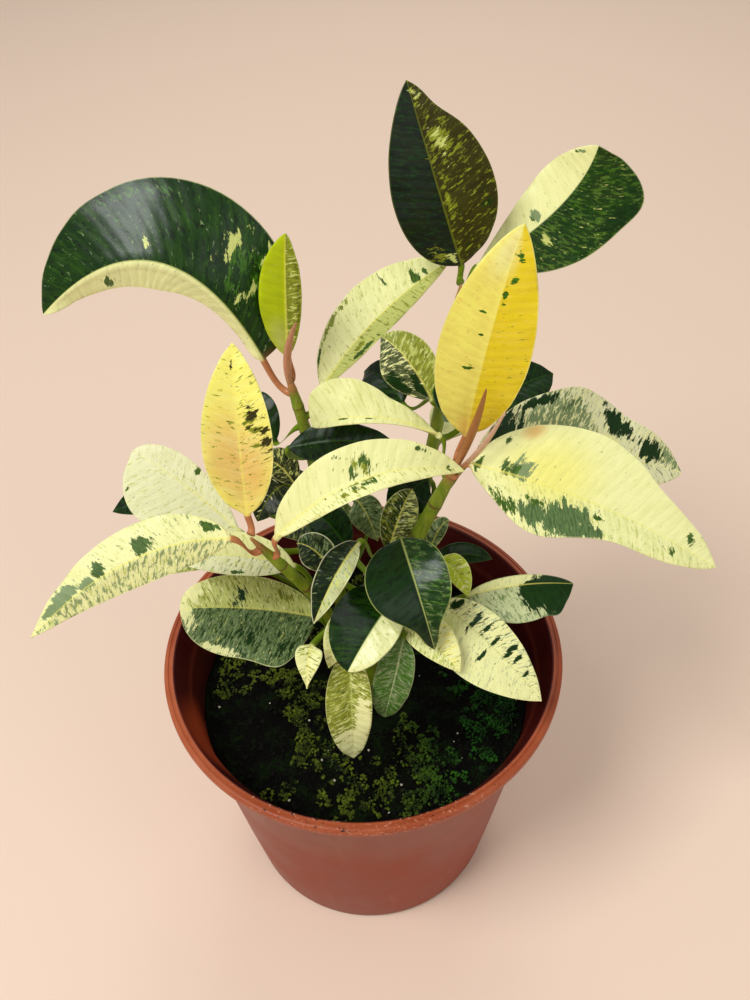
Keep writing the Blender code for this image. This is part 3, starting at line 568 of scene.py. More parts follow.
def dress(piece, slot, *nodes):
    """Lets a piece ride on the plant and stand for its solids. The slot is not used."""
    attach(piece, "root")
    if nodes:
        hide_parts(*nodes)
    return piece


class Finish:
    """A material being made, with short ways to add and join its nodes."""

    def __init__(self, name, **sockets):
        self.material = bpy.data.materials.new(name)
        self.material.use_nodes = True
        self.tree = self.material.node_tree
        self.shader = self.tree.nodes["Principled BSDF"]
        for socket, value in sockets.items():
            self.shader.inputs[socket.replace("_", " ")].default_value = value

    def add(self, kind, inputs=None, output=0, **settings):
        """Makes a node, joins or sets its inputs and gives one of its outputs."""
        node = self.tree.nodes.new(kind)
        for setting, value in settings.items():
            setattr(node, setting, value)
        for socket, value in (inputs or {}).items():
            self.join(value, node.inputs[socket])
        return node.outputs[output]

    def join(self, value, socket):
        """Links an output to a socket, or sets the socket to a plain value."""
        if isinstance(value, bpy.types.NodeSocket):
            self.tree.links.new(value, socket)
        else:
            socket.default_value = value

    def mark(self, name):
        """A vector kept on the vertices of the mesh."""
        return self.add("ShaderNodeAttribute", output=1, attribute_name=name)

    def place(self):
        """Where a point lies, in metres."""
        return self.add("ShaderNodeTexCoord", output=3)

    def sum(self, operation, first, second=0.0, third=0.0):
        """One step of arithmetic on values."""
        return self.add("ShaderNodeMath", {0: first, 1: second, 2: third}, operation=operation)

    def mix(self, share, first, second, way="MIX"):
        return self.add("ShaderNodeMix", {0: share, 6: first, 7: second}, output=2,
                        data_type="RGBA", blend_type=way)

    def ramp(self, value, low, high, start=0.0, end=1.0):
        """A value eased from start to end as it passes from low to high."""
        return self.add("ShaderNodeMapRange", {0: value, 1: low, 2: high, 3: start, 4: end},
                        interpolation_type="SMOOTHSTEP")

    def grain(self, place, scale, detail=3.0, roughness=0.55, stretch=(1, 1, 1), shift=(0, 0, 0)):
        """Fine random relief, from about 0.2 to 0.8."""
        moved = self.add("ShaderNodeMapping", {"Vector": place, "Location": shift, "Scale": stretch})
        return self.add("ShaderNodeTexNoise",
                        {"Vector": moved, "Scale": scale, "Detail": detail, "Roughness": roughness})

    def split(self, value):
        """The three numbers of a vector."""
        parts = self.tree.nodes.new("ShaderNodeSeparateXYZ")
        self.join(value, parts.inputs[0])
        return parts.outputs

    def colour(self, value):
        self.join(value, self.shader.inputs["Base Color"])

    def roughness(self, value):
        self.join(value, self.shader.inputs["Roughness"])

    def relief(self, height, depth, strength=1.0):
        """Fine bumps, depth in millimetres."""
        bump = self.add("ShaderNodeBump", {"Strength": strength, "Distance": depth * MM, "Height": height})
        self.join(bump, self.shader.inputs["Normal"])


# Leaves


@functools.cache
def outline(leaf, along, side=0):
    """Half width as a share of the full half width, widest at the belly."""
    start = leaf.point * leaf.belly
    end = leaf.point * (1 - leaf.belly)
    peak = leaf.belly ** start * (1 - leaf.belly) ** end
    along = min(max(along, 0.0), 1.0)
    share = (along ** start) * ((1 - along) ** end) / peak
    for edge_side, middle, reach, depth in leaf.edges:
        if edge_side == side:
            share *= 1 - depth * math.exp(-((along - middle) / reach) ** 2)
    return share


@functools.cache
def midrib(leaf, along):
    """Point on the bowed midrib, from the blade's base to its tip."""
    base = Vector(leaf.base)
    tip = Vector(leaf.tip)
    return base.lerp(tip, along) + 4 * along * (1 - along) * Vector(leaf.bulge)


@functools.cache
def leaf_axes(leaf, along):
    """Forward, rightward and outward directions of the blade at a point of the midrib."""
    ahead = (midrib(leaf, along + NEARBY) - midrib(leaf, along - NEARBY)).normalized()
    out = Vector(leaf.face)
    out = (out - out.dot(ahead) * ahead).normalized()
    return ahead, ahead.cross(out), out


def half_blade(leaf, along, across):
    """Side, half width and upward lean in radians of the half blade that a point lies in."""
    side = 1 if across > 0 else -1
    full, lean = (leaf.right, leaf.fold[1]) if across > 0 else (leaf.left, leaf.fold[0])
    share = outline(leaf, along, side)
    lean = math.radians(lean) * min(1.0, share / UNFOLDED_SHARE)
    return side, full * share, lean


def blade_point(leaf, along, across, seed):
    """Point halfway through the blade, its direction up, its distance across and to the edge."""
    _, right, out = leaf_axes(leaf, along)
    side, half, lean = half_blade(leaf, along, across)
    half = max(half, STALK_RADIUS if along < 0.02 else TIP_HALF_WIDTH)
    reach = abs(across) * half
    ripple = leaf.wave * math.sin(math.tau * WAVES * along + side) * across ** 2 * outline(leaf, along)
    spot = Vector((side * reach, UNDULATION_RUN * along, seed))
    ripple += (UNDULATION * noise.noise(spot * UNDULATION_PITCH) * abs(across) ** 1.5
               * min(1.0, half / LIVELY_HALF_WIDTH))
    spread = lean * min(1.0, abs(across) * HALF_COLUMNS / CREASE_COLUMNS)
    point = (midrib(leaf, along) + right * (side * reach * math.cos(spread))
             + out * (reach * math.sin(spread) + ripple))
    up = out * math.cos(spread) - right * (side * math.sin(spread))
    return point, up, side * reach, half - reach


@functools.cache
def stalk_frame(leaf, share):
    """Stalk centre with its right and outward directions, share 0 at the stem, 1 at the blade."""
    route = STEM_ROUTES[leaf.stem]
    joint = on_route(route, leaf.at)
    rise = (joint - on_route(route, leaf.at - 0.03)).normalized()
    base = Vector(leaf.base)
    away = base - joint
    away = (away - away.dot(rise) * rise).normalized()
    start = joint + away * stem_radius(leaf.stem, leaf.at) * STALK_ROOT
    ahead, right, _ = leaf_axes(leaf, 0.0)
    handle = STALK_BEND * (base - start).length
    knee = start + away * handle
    entry = base - ahead * handle
    keep = 1 - share
    centre = (start * keep ** 3 + knee * (3 * keep ** 2 * share)
              + entry * (3 * keep * share ** 2) + base * share ** 3)
    forward = (away * keep + ahead * share).normalized()
    side = (right - right.dot(forward) * forward).normalized()
    return centre, side, side.cross(forward)


def leaf_vertex(leaf, row, across, seed):
    """Middle point of the leaf's thickness, its two face offsets, and its marks for the finish."""
    length = (Vector(leaf.tip) - Vector(leaf.base)).length
    if row < STALK_ROWS:
        share = row / STALK_ROWS
        centre, right, out = stalk_frame(leaf, share)
        swell = 1 + STALK_SWELL * math.exp(-(share / STALK_SWELL_REACH) ** 2)
        thick = STALK_RADIUS * swell * math.sqrt(1 - (STALK_ROUNDNESS * across) ** 2)
        point = centre + right * (across * STALK_RADIUS * swell)
        return point, out * thick, out * thick, (across, share - 1, 0.5), (0, (share - 1) * 0.5, 0)
    along = 0.5 - 0.5 * math.cos(math.pi * (row - STALK_ROWS) / BLADE_ROWS)
    point, up, offset, edge = blade_point(leaf, along, across, seed)
    inward = math.sqrt(max(0.0, 1 - abs(across) ** 6))
    thin = BLADE_THICKNESS / 2 * (EDGE_THICKNESS_SHARE + (1 - EDGE_THICKNESS_SHARE) * inward)
    rib = math.exp(-(offset / RIB_HALF_WIDTH) ** 2) * (1 - along)
    root = max(0.0, 1 - along * length / ROOT_LENGTH) * math.sqrt(max(0.0, 1 - across ** 2))
    upper = up * (thin - RIB_GROOVE * rib * (1 - root) + STALK_RADIUS * root * ROOT_RISE)
    lower = up * (thin + RIB_DEPTH * rib + STALK_RADIUS * root * ROOT_DROP)
    slant = (along * length - abs(offset) * VEIN_SLANT) / 10
    return point, upper, lower, (across, along, edge / 10), (offset / 10, slant, 0)


def make_leaf(leaf, seed):
    """One closed body: a grid bent to the stalk and blade, doubled into an upper and a lower face."""
    rows = STALK_ROWS + BLADE_ROWS
    shape = bmesh.new()
    bmesh.ops.create_grid(shape, x_segments=2 * HALF_COLUMNS, y_segments=rows, size=1.0)
    order = shape.verts.layers.int.new("order")
    blade = shape.verts.layers.float_vector.new("blade")
    veins = shape.verts.layers.float_vector.new("veins")
    offsets = []
    for number, vertex in enumerate(shape.verts):
        vertex[order] = number
        across = round(vertex.co.x * HALF_COLUMNS) / HALF_COLUMNS
        across = math.copysign(abs(across) ** COLUMN_SPREAD, across)
        row = round((vertex.co.y + 1) / 2 * rows)
        vertex.co, upper, lower, vertex[blade], vertex[veins] = leaf_vertex(leaf, row, across, seed)
        offsets.append((upper, lower))
    result = bmesh.ops.extrude_face_region(shape, geom=shape.faces[:], use_keep_orig=True)
    under = {item for item in result["geom"] if isinstance(item, bmesh.types.BMVert)}
    for vertex in shape.verts:
        upper, lower = offsets[vertex[order]]
        if vertex in under:
            vertex.co -= lower
            vertex[veins] += Vector((0, 0, 1))
        else:
            vertex.co += upper
        vertex.co *= MM
    bmesh.ops.recalc_face_normals(shape, faces=shape.faces[:])
    return put("dressed_" + leaf.name, shape, leaf_finish(leaf, seed), 75)


def half_value(finish, across, left, right):
    """A value that is one number on the left half and another on the right."""
    return finish.ramp(across, -0.02, 0.02, left, right)


def patch_field(finish, blade, patches):
    """1 at the middle of the nearest patch, 0 at its edge and below 0 outside."""
    field = None
    for across, along, wide, long in patches:
        nearby = finish.add("ShaderNodeMapping", {
            "Vector": blade, "Location": (across, along, 0), "Scale": (wide, long, ANY_DEPTH)},
            vector_type="TEXTURE")
        distance = finish.add("ShaderNodeVectorMath", {0: nearby}, output=1, operation="LENGTH")
        field_here = finish.sum("SUBTRACT", 1.0, distance)
        field = field_here if field is None else finish.sum("MAXIMUM", field, field_here)
    return field


def splash(finish, tint, coat, blade, veins, shift):
    """Lays one coat over the tint: patches with ragged edges, and flecks drawn out along the veins."""
    across = finish.split(blade)[0]
    left, right = fleck_level(SPLASHES * coat.left ** 2), fleck_level(SPLASHES * coat.right ** 2)
    amount = half_value(finish, across, left, right)
    field = patch_field(finish, blade, coat.patches)
    if field is not None:
        amount = finish.sum("MAXIMUM", amount, finish.add("ShaderNodeMapRange", {
            0: field, 1: -0.7, 2: 0.9, 3: 0.2, 4: 0.2 + 1.35 * coat.solid}))
    level = finish.sum("ADD", amount, finish.grain(veins, 3.4, 8, 0.72, (0.45, 1.25, 0), shift))
    left, right = fleck_level(FLECKS * coat.left), fleck_level(FLECKS * coat.right)
    fine = finish.sum("ADD", finish.grain(veins, 7.0, 7, 0.68, (0.42, 1.2, 0), shift),
                      half_value(finish, across, left, right))
    streak = finish.grain(veins, 9.0, 5, 0.7, (0.35, 1.6, 0), shift)
    low, high = (0.75, 1.7) if sum(coat.colour[:3]) < 0.6 else (0.93, 1.07)
    toned = finish.add("ShaderNodeHueSaturation", {
        "Value": finish.ramp(streak, 0.36, 0.66, low, high), "Color": coat.colour})
    cover = finish.sum("MAXIMUM", finish.ramp(level, 0.985, 1.015), finish.ramp(fine, 0.985, 1.02, 0.0, 0.9))
    return finish.mix(cover, tint, toned)


def leaf_finish(leaf, seed):
    """Two grounds either side of the midrib, splashed coats, veins, rim and a duller underside."""
    look = LOOKS.get(leaf.name, DARK_LEAF)
    finish = Finish(leaf.name + "_finish", Specular_IOR_Level=0.2, Coat_Weight=look.varnish,
                    Coat_Roughness=0.3, Coat_Tint=COOL_SHEEN)
    blade, veins = finish.mark("blade"), finish.mark("veins")
    across, along, edge = finish.split(blade)
    offset, _, under = finish.split(veins)

    tint = finish.mix(half_value(finish, across, 0.0, 1.0), look.left, look.right)
    for *spot, stain in look.blushes:
        soft = patch_field(finish, blade, (spot,))
        tint = finish.mix(finish.ramp(soft, 0.0, 0.9, 0.0, BLUSH_SHARE), tint, stain)
    vein_share = half_value(finish, across, *look.vein_share)
    cloud = finish.grain(veins, 1.6, 4, 0.6, (0.6, 1, 0), (seed * 3.1, seed, 0))
    tint = finish.mix(finish.sum("MULTIPLY", finish.ramp(cloud, 0.35, 0.7), vein_share), tint, look.veins)
    band = finish.add("ShaderNodeTexWave", {
        "Vector": veins, "Scale": 0.9, "Distortion": 1.6, "Detail": 3.0, "Detail Scale": 1.5,
        "Phase Offset": float(seed)}, output=1, bands_direction="Y")
    share = finish.sum("MULTIPLY", vein_share, finish.ramp(cloud, 0.3, 0.6))
    tint = finish.mix(finish.sum("MULTIPLY", finish.ramp(band, 0.8, 0.99), share), tint, look.veins)
    for number, coat in enumerate(look.coats):
        tint = splash(finish, tint, coat, blade, veins, (seed * 7.3 + 5 * number, 3 * number, 0))

    rib_width = finish.sum("MULTIPLY_ADD", along, -0.04, 0.055)
    rib_place = finish.sum("DIVIDE", finish.sum("ABSOLUTE", offset), rib_width)
    tint = finish.mix(finish.ramp(rib_place, 1.2, 0.5, 0.0, 0.45), tint, look.midrib)
    tint = finish.mix(finish.ramp(edge, 0.045, 0.015, 0.0, look.rim_share), tint, look.rim)
    tint = finish.mix(finish.ramp(along, 0.03, -0.05), tint, look.stalk)
    wear = finish.grain(veins, 7.0, 5, 0.7, (0.35, 1.6, 0), (seed, seed, 0))
    tint = finish.add("ShaderNodeHueSaturation", {
        "Value": finish.ramp(wear, 0.3, 0.72, 0.95, 1.04), "Color": tint})
    finish.colour(finish.mix(under, tint, finish.mix(UNDERSIDE_SHARE, tint, GREY_GREEN)))

    fine = finish.grain(veins, 14, 3, 0.6, (1, 1, 0))
    sheen = finish.sum("MULTIPLY_ADD", fine, 0.16, look.gloss - 0.08)
    finish.roughness(finish.sum("MULTIPLY_ADD", under, 0.25, sheen))
    swell = finish.sum("MULTIPLY_ADD", band, -0.3, finish.sum("MULTIPLY", cloud, 0.8))
    finish.relief(finish.sum("MULTIPLY_ADD", fine, 0.08, swell), 0.45, 0.6)
    return finish.material


def fleck_level(density):
    """How far the splash noise is raised so that about this share of it passes one."""
    if density <= 0:
        return 0.0
    density = min(density, 0.7)
    return 0.5 + 0.055 * math.log(density / (1 - density))


# Stems and new leaves


def on_route(route, share):
    """Point on a smooth curve through the route's points, share running from 0 to 1."""
    points = [Vector(point) for point in route]
    points = [2 * points[0] - points[1]] + points + [2 * points[-1] - points[-2]]
    spans = len(route) - 1
    span = min(int(share * spans), spans - 1)
    t = share * spans - span
    a, b, c, d = points[span:span + 4]
    return 0.5 * ((2 * b) + (c - a) * t + (2 * a - 5 * b + 4 * c - d) * t * t
                  + (3 * b - a - 3 * c + d) * t ** 3)


def stem_radius(name, share):
    """Radius of a stem, narrowing evenly from its foot to its tip."""
    foot, tip = STEM_RADII[name]
    return foot + (tip - foot) * share


def scar_phase(share):
    """Counts the leaf scars passed on the way up a stem: a whole number at each, unevenly apart."""
    return SCARS * share + SCAR_UNEVENNESS * math.sin(SCARS * SCAR_RHYTHM * share)


def make_rod(name, material, steps, sides, centre_at, radius_at):
    """A round rod: a grid rolled up along a path, its seam closed and its ends drawn together."""
    shape = bmesh.new()
    bmesh.ops.create_grid(shape, x_segments=sides, y_segments=steps, size=1.0)
    along_mark = shape.verts.layers.float_vector.new("rod")
    for vertex in shape.verts:
        turn = round((vertex.co.x + 1) / 2 * sides) / sides
        step = round((vertex.co.y + 1) / 2 * steps)
        share = step / steps
        before, after = centre_at(max(0.0, share - NEARBY)), centre_at(min(1.0, share + NEARBY))
        forward = (after - before).normalized()
        side = forward.cross(Vector((0, 1, 0.2))).normalized()
        radius = radius_at(share, turn)
        if step in (0, steps):
            radius = 0.0
        reach = side * math.cos(math.tau * turn) + side.cross(forward) * math.sin(math.tau * turn)
        vertex.co = (centre_at(share) + reach * radius) * MM
        vertex[along_mark] = (turn, share, scar_phase(share))
    bmesh.ops.remove_doubles(shape, verts=shape.verts[:], dist=0.001 * MM)
    bmesh.ops.recalc_face_normals(shape, faces=shape.faces[:])
    return put(name, shape, material, 80)


def stem_finish(name):
    """Green bark, browner low down and pink at the growing tip, with brown rings at the leaf scars."""
    finish = Finish(name + "_bark", Specular_IOR_Level=0.4)
    place = finish.place()
    _, share, phase = finish.split(finish.mark("rod"))
    streak = finish.grain(place, 260, 4, 0.6, (1, 1, 0.25))
    bark = finish.mix(finish.ramp(streak, 0.35, 0.7), STEM_GREEN, paint(150, 168, 40))
    age = finish.ramp(share, 0.6, 0.1, 0.0, 0.6)
    bark = finish.mix(finish.sum("MULTIPLY", age, streak), bark, paint(92, 80, 40))
    from_scar = finish.sum("MULTIPLY_ADD", streak, -0.05, finish.sum("PINGPONG", phase, 0.5))
    bark = finish.mix(finish.ramp(from_scar, 0.03, -0.005, 0.0, 0.7), bark, paint(104, 62, 34))
    bark = finish.mix(finish.ramp(share, 0.94, 0.985, 0.0, 0.8), bark, paint(186, 118, 76))
    dots = finish.add("ShaderNodeTexVoronoi", {"Vector": place, "Scale": 420.0})
    pores = finish.ramp(dots, 0.22, 0.12)
    bark = finish.mix(finish.sum("MULTIPLY", pores, 0.5), bark, paint(200, 190, 120))
    finish.colour(bark)
    finish.roughness(finish.ramp(streak, 0.3, 0.7, 0.38, 0.55))
    finish.relief(finish.sum("ADD", finish.sum("MULTIPLY", streak, 0.5), pores), 0.3)
    return finish.material


def make_stem(name, route):
    """A stem with a slight swelling at every leaf scar, drawn in at its top like a bud."""
    tipped = [stem for _, stem, _, _ in SPIKES]
    taper = BLUNT_TAPER if name in tipped else BUD_TAPER

    def radius_at(share, turn):
        swelling = math.cos(math.pi * scar_phase(share)) ** 2
        drawn_in = 1 - taper * max(0.0, (share - (1 - TIP_SHARE)) / TIP_SHARE) ** 1.5
        return stem_radius(name, share) * (1 + SCAR_SWELL * swelling ** 6) * drawn_in

    return make_rod("dressed_" + name, stem_finish(name), STEM_STEPS, STEM_SIDES,
                    lambda share: on_route(route, share), radius_at)


def sheath_finish(name, dark, light, foot):
    """New growth, another colour at its foot, with fine lengthwise lines."""
    finish = Finish(name, Specular_IOR_Level=0.4, Coat_Weight=0.1)
    place = finish.place()
    rod = finish.mark("rod")
    lines = finish.grain(rod, 9, 3, 0.6, (6, 0.6, 1))
    tint = finish.mix(finish.ramp(lines, 0.35, 0.65), dark, light)
    tint = finish.mix(finish.ramp(finish.split(rod)[1], 0.35, 0.0, 0.0, 0.7), tint, foot)
    finish.colour(tint)
    finish.roughness(finish.ramp(lines, 0.3, 0.7, 0.34, 0.5))
    finish.relief(finish.sum("ADD", lines, finish.grain(place, 900)), 0.15)
    return finish.material


def bow(start, knee, end):
    """Centre line that leaves start toward knee and bends on to end, share running from 0 to 1."""
    def centre_at(share):
        keep = 1 - share
        return start * keep ** 2 + knee * (2 * keep * share) + end * share ** 2
    return centre_at


def make_spike(name, stem, tip, radius, material):
    """A rolled new leaf standing on the growing tip of a stem."""
    route = STEM_ROUTES[stem]
    top = on_route(route, 1.0)
    rise = (top - on_route(route, 0.97)).normalized()
    start = top - rise * SPIKE_ROOT
    end = Vector(tip)
    knee = start + rise * SPIKE_BEND * (end - start).length

    def radius_at(share, turn):
        twist = 1 + SPIKE_TWIST * math.cos(math.tau * (turn + SPIKE_TURNS * share))
        return (radius * (0.75 + share) * (1 - share ** 2) + SPIKE_TIP_RADIUS) * twist

    return make_rod("dressed_" + name, material, SPIKE_STEPS, STEM_SIDES, bow(start, knee, end), radius_at)


def make_sheath(name, start, knee, end, width, material):
    """A thin papery sheath, flat in section, that once wrapped a new leaf."""
    def radius_at(share, turn):
        wide = width * math.sin(math.pi * (0.12 + 0.86 * share)) ** 0.7
        flat = math.hypot(SHEATH_THICKNESS * math.cos(math.tau * turn), wide * math.sin(math.tau * turn))
        return SHEATH_THICKNESS * wide / flat

    centre_at = bow(Vector(start), Vector(knee), Vector(end))
    return make_rod(name, material, SPIKE_STEPS, STEM_SIDES, centre_at, radius_at)


# Pot


def turned(profile, sides):
    """A closed body turned about Z from (radius, height) points in millimetres."""
    shape = bmesh.new()
    ring = [shape.verts.new((radius * MM, 0, height * MM)) for radius, height in profile]
    for lower, upper in zip(ring, ring[1:]):
        shape.edges.new((lower, upper))
    bmesh.ops.spin(shape, geom=shape.verts[:] + shape.edges[:], cent=(0, 0, 0), axis=(0, 0, 1),
                   angle=math.tau, steps=sides, use_merge=True)
    bmesh.ops.remove_doubles(shape, verts=shape.verts[:], dist=0.01 * MM)
    bmesh.ops.recalc_face_normals(shape, faces=shape.faces[:])
    return shape


def wall_radius(height):
    """Outer radius of the tapering pot wall."""
    return BASE_RADIUS + (WALL_TOP_RADIUS - BASE_RADIUS) * height / (POT_HEIGHT - LIP_DEPTH)


def inner_radius(height):
    """Inner radius of the wall, from just above the floor to just under the collar."""
    low, high = FLOOR + 2, POT_HEIGHT - LIP_DEPTH - COLLAR_DROP - 1
    share = (height - low) / (high - low)
    foot = BASE_RADIUS - WALL + 0.3
    return foot + (wall_radius(high) - WALL - foot) * share


def pot_shade_and_lit_patch(finish, place, height, radius, plastic):
    """The inside of the wall painted dark red as shade, with a painted patch of light and its specks of soil,
    and 1 where a point lies inside.
    """
    collar = (POT_HEIGHT - LIP_DEPTH - COLLAR_DROP) * MM
    lip = (POT_HEIGHT - LIP_DEPTH) * MM
    slope = (WALL_TOP_RADIUS - BASE_RADIUS) * MM / lip
    mid_wall = finish.sum("MULTIPLY_ADD", height, slope, (BASE_RADIUS - WALL / 2) * MM)
    mid_wall = finish.sum("ADD", mid_wall, finish.ramp(height, collar - 0.0005, lip, 0.0, 0.0033))
    mid_wall = finish.sum("ADD", mid_wall, finish.ramp(height, lip + 0.0005, lip + 0.003, 0.0, 0.001))
    inside = finish.ramp(finish.sum("SUBTRACT", mid_wall, radius), 0.0, 0.0006)
    # Painted light: the inner wall turns bright orange within about 28 mm of this spot, as if lit there
    from_lit_patch = finish.add("ShaderNodeVectorMath", {0: place, 1: Vector(LIT_PATCH_CENTRE) * MM}, output=1,
                           operation="DISTANCE")
    # Painted shade: the whole inside of the wall is dark red, though it is the same plastic as the outside
    shade_and_lit_patch = finish.mix(finish.ramp(from_lit_patch, 0.028, 0.012), paint(72, 8, 7), paint(160, 60, 26))
    plastic = finish.mix(inside, plastic, shade_and_lit_patch)
    dust = finish.grain(place, 900, 4, 0.7)
    low = finish.ramp(height, 0.128, 0.108)
    specks = finish.ramp(finish.sum("MULTIPLY_ADD", low, 0.16, dust), 0.66, 0.7)
    return finish.mix(finish.sum("MULTIPLY", specks, inside), plastic, paint(20, 14, 10)), inside


def pot_wear(finish, place, height, inside, plastic):
    """Dark and pale chips under the lip at the front, and scuffs all over the outside."""
    front = finish.ramp(finish.split(place)[1], -0.04, -0.08)
    below_lip = finish.sum("MULTIPLY", finish.ramp(height, 0.1295, 0.132), front)
    for scale, stretch, shift, low, high, share, tint in (
            (480, (1, 1, 2.2), (0, 0, 0), 0.72, 0.74, 1.0, paint(50, 24, 14)),
            (620, (1, 1, 1.6), (0.5, 0.2, 0), 0.7, 0.73, 0.7, paint(212, 150, 120))):
        chips = finish.sum("MULTIPLY_ADD", below_lip, 0.1, finish.grain(place, scale, 4, 0.6, stretch, shift))
        chipped = finish.sum("MULTIPLY", finish.ramp(chips, low, high, 0.0, share), below_lip)
        plastic = finish.mix(chipped, plastic, tint)
    scuffs = finish.ramp(finish.grain(place, 420, 6, 0.7, shift=(0.3, 0.1, 0)), 0.68, 0.74, 0.0, 0.4)
    outside = finish.sum("SUBTRACT", 1.0, inside)
    return finish.mix(finish.sum("MULTIPLY", scuffs, outside), plastic, paint(190, 128, 100))


def pot_finish():
    """Terracotta-coloured plastic: paler scuffed rim, dusty streaks, painted dark shade inside with a painted
    patch of light, and soil specks.
    """
    finish = Finish("pot_plastic", Specular_IOR_Level=0.3)
    place = finish.place()
    height = finish.split(place)[2]
    flat = finish.add("ShaderNodeVectorMath", {0: place, 1: (1, 1, 0)}, operation="MULTIPLY")
    radius = finish.add("ShaderNodeVectorMath", {0: flat}, output=1, operation="LENGTH")
    cloud = finish.grain(place, 22, 5, 0.6)
    plastic = finish.mix(finish.ramp(cloud, 0.3, 0.7), paint(131, 40, 9), paint(146, 52, 17))
    streak = finish.grain(place, 120, 4, 0.6, (1, 1, 0.08))
    plastic = finish.mix(finish.ramp(streak, 0.55, 0.8, 0.0, 0.3), plastic, paint(168, 92, 60))
    dusty = finish.sum("MULTIPLY", finish.ramp(height, 0.06, 0.125, 0.0, 0.5), streak)
    plastic = finish.mix(dusty, plastic, paint(150, 98, 72))

    lip = (POT_HEIGHT - LIP_DEPTH) * MM
    inside_rim = (RIM_RADIUS - LIP_WIDTH) * MM
    rim = finish.mix(finish.ramp(cloud, 0.35, 0.65), paint(158, 72, 38), paint(180, 94, 56))
    on_rim = finish.sum("MULTIPLY", finish.ramp(height, lip - 0.0005, lip + 0.0005),
                        finish.ramp(radius, inside_rim + 0.0002, inside_rim + 0.001))
    plastic, inside = pot_shade_and_lit_patch(finish, place, height, radius, finish.mix(on_rim, plastic, rim))
    finish.colour(pot_wear(finish, place, height, inside, plastic))
    finish.roughness(finish.ramp(cloud, 0.3, 0.7, 0.38, 0.52))
    fine = finish.grain(place, 1500, 2, 0.5)
    finish.relief(finish.sum("MULTIPLY_ADD", streak, 0.5, fine), 0.08, 0.6)
    return finish.material


def make_pot():
    """The pot turned smooth, with its drain holes cut through the floor."""
    lip_bottom = POT_HEIGHT - LIP_DEPTH
    collar = lip_bottom - COLLAR_DROP
    inside_rim = RIM_RADIUS - LIP_WIDTH
    profile = (
        (0, 0), (BASE_RADIUS - 3, 0), (BASE_RADIUS - 1.6, 0.25), (BASE_RADIUS - 0.5, 1.1),
        (BASE_RADIUS, 3), (wall_radius(40), 40), (wall_radius(80), 80), (wall_radius(collar), collar),
        (wall_radius(collar) + 0.4, collar + 0.3), (wall_radius(collar) + 1.2, collar + 1.5),
        (inside_rim - 0.3, lip_bottom - 0.6), (inside_rim + 0.4, lip_bottom), (RIM_RADIUS - 0.8, lip_bottom),
        (RIM_RADIUS - 0.2, lip_bottom + 0.2), (RIM_RADIUS, lip_bottom + 0.8),
        (RIM_RADIUS, POT_HEIGHT - 1.2), (RIM_RADIUS - 0.3, POT_HEIGHT - 0.4), (RIM_RADIUS - 1.0, POT_HEIGHT),
        (RIM_RADIUS - 1.7, POT_HEIGHT - 0.05), (RIM_RADIUS - 2.0, POT_HEIGHT - 0.5),
        (RIM_RADIUS - 2.4, POT_HEIGHT - 0.5), (RIM_RADIUS - 2.7, POT_HEIGHT - 0.05),
        (RIM_RADIUS - 3.4, POT_HEIGHT), (inside_rim + 0.4, POT_HEIGHT - 0.3),
        (inside_rim, POT_HEIGHT - 1.0), (inside_rim - 1.0, lip_bottom),
        (inner_radius(collar - 1) + 0.7, collar + 0.8), (inner_radius(collar - 1), collar - 1),
        (inner_radius(FLOOR + 2), FLOOR + 2), (BASE_RADIUS - 4, FLOOR), (0, FLOOR),
    )
    pot = put("dressed_pot", turned(profile, POT_SIDES), pot_finish(), 50)
    pegs = bmesh.new()
    for number in range(DRAIN_HOLES):
        turn = math.tau * number / DRAIN_HOLES
        place = Vector((DRAIN_CIRCLE * math.cos(turn), DRAIN_CIRCLE * math.sin(turn), 0)) * MM
        bmesh.ops.create_cone(pegs, cap_ends=True, segments=24, radius1=DRAIN_RADIUS * MM,
                              radius2=DRAIN_RADIUS * MM, depth=16 * MM, matrix=Matrix.Translation(place))
    tool = put("drain_pegs", pegs, pot.data.materials[0])
    boolean = pot.modifiers.new("drain", "BOOLEAN")
    boolean.operation = "DIFFERENCE"
    boolean.solver = "EXACT"
    boolean.object = tool
    drilled = bpy.data.meshes.new_from_object(pot.evaluated_get(bpy.context.evaluated_depsgraph_get()))
    pot.modifiers.clear()
    pot.data = drilled
    bpy.data.objects.remove(tool)
    return dress(pot, "pot", "pot")


# Soil


def rumple(spot, layers):
    """Random relief at a spot, summed over layers of (height in millimetres, lumps in each metre)."""
    return sum(height * noise.noise(spot * pitch) for height, pitch in layers)


def soil_height(x, y):
    """Height of the compost's surface, as the solid's, with finer lumps added."""
    edge = inner_radius(SOIL_TOP) - GAP
    spot = Vector((x, y, SOIL_TOP)) * MM
    reach = min(1.0, math.hypot(x, y) / edge)
    return SOIL_TOP + SOIL_RELIEF * (rumple(spot, SOIL_LUMPS) - reach ** 4) + rumple(spot, SOIL_CRUMBLE)


def soil_finish():
    """Near-black compost with brown fibres and a green bloom of fine moss."""
    finish = Finish("damp_compost", Specular_IOR_Level=0.08)
    place = finish.place()
    coarse = finish.grain(place, 90, 6, 0.7)
    fine = finish.grain(place, 900, 5, 0.7)
    earth = finish.mix(finish.ramp(fine, 0.4, 0.7), paint(3, 3, 2), paint(16, 13, 8))
    bloom = finish.ramp(finish.sum("MULTIPLY_ADD", fine, 0.35, coarse), 0.66, 0.78, 0.0, 0.8)
    green = finish.mix(finish.ramp(fine, 0.35, 0.65), paint(6, 16, 2), paint(22, 40, 8))
    finish.colour(finish.mix(bloom, earth, green))
    finish.roughness(finish.ramp(fine, 0.3, 0.7, 0.6, 0.95))
    finish.relief(fine, 1.2, 1.0)
    return finish.material


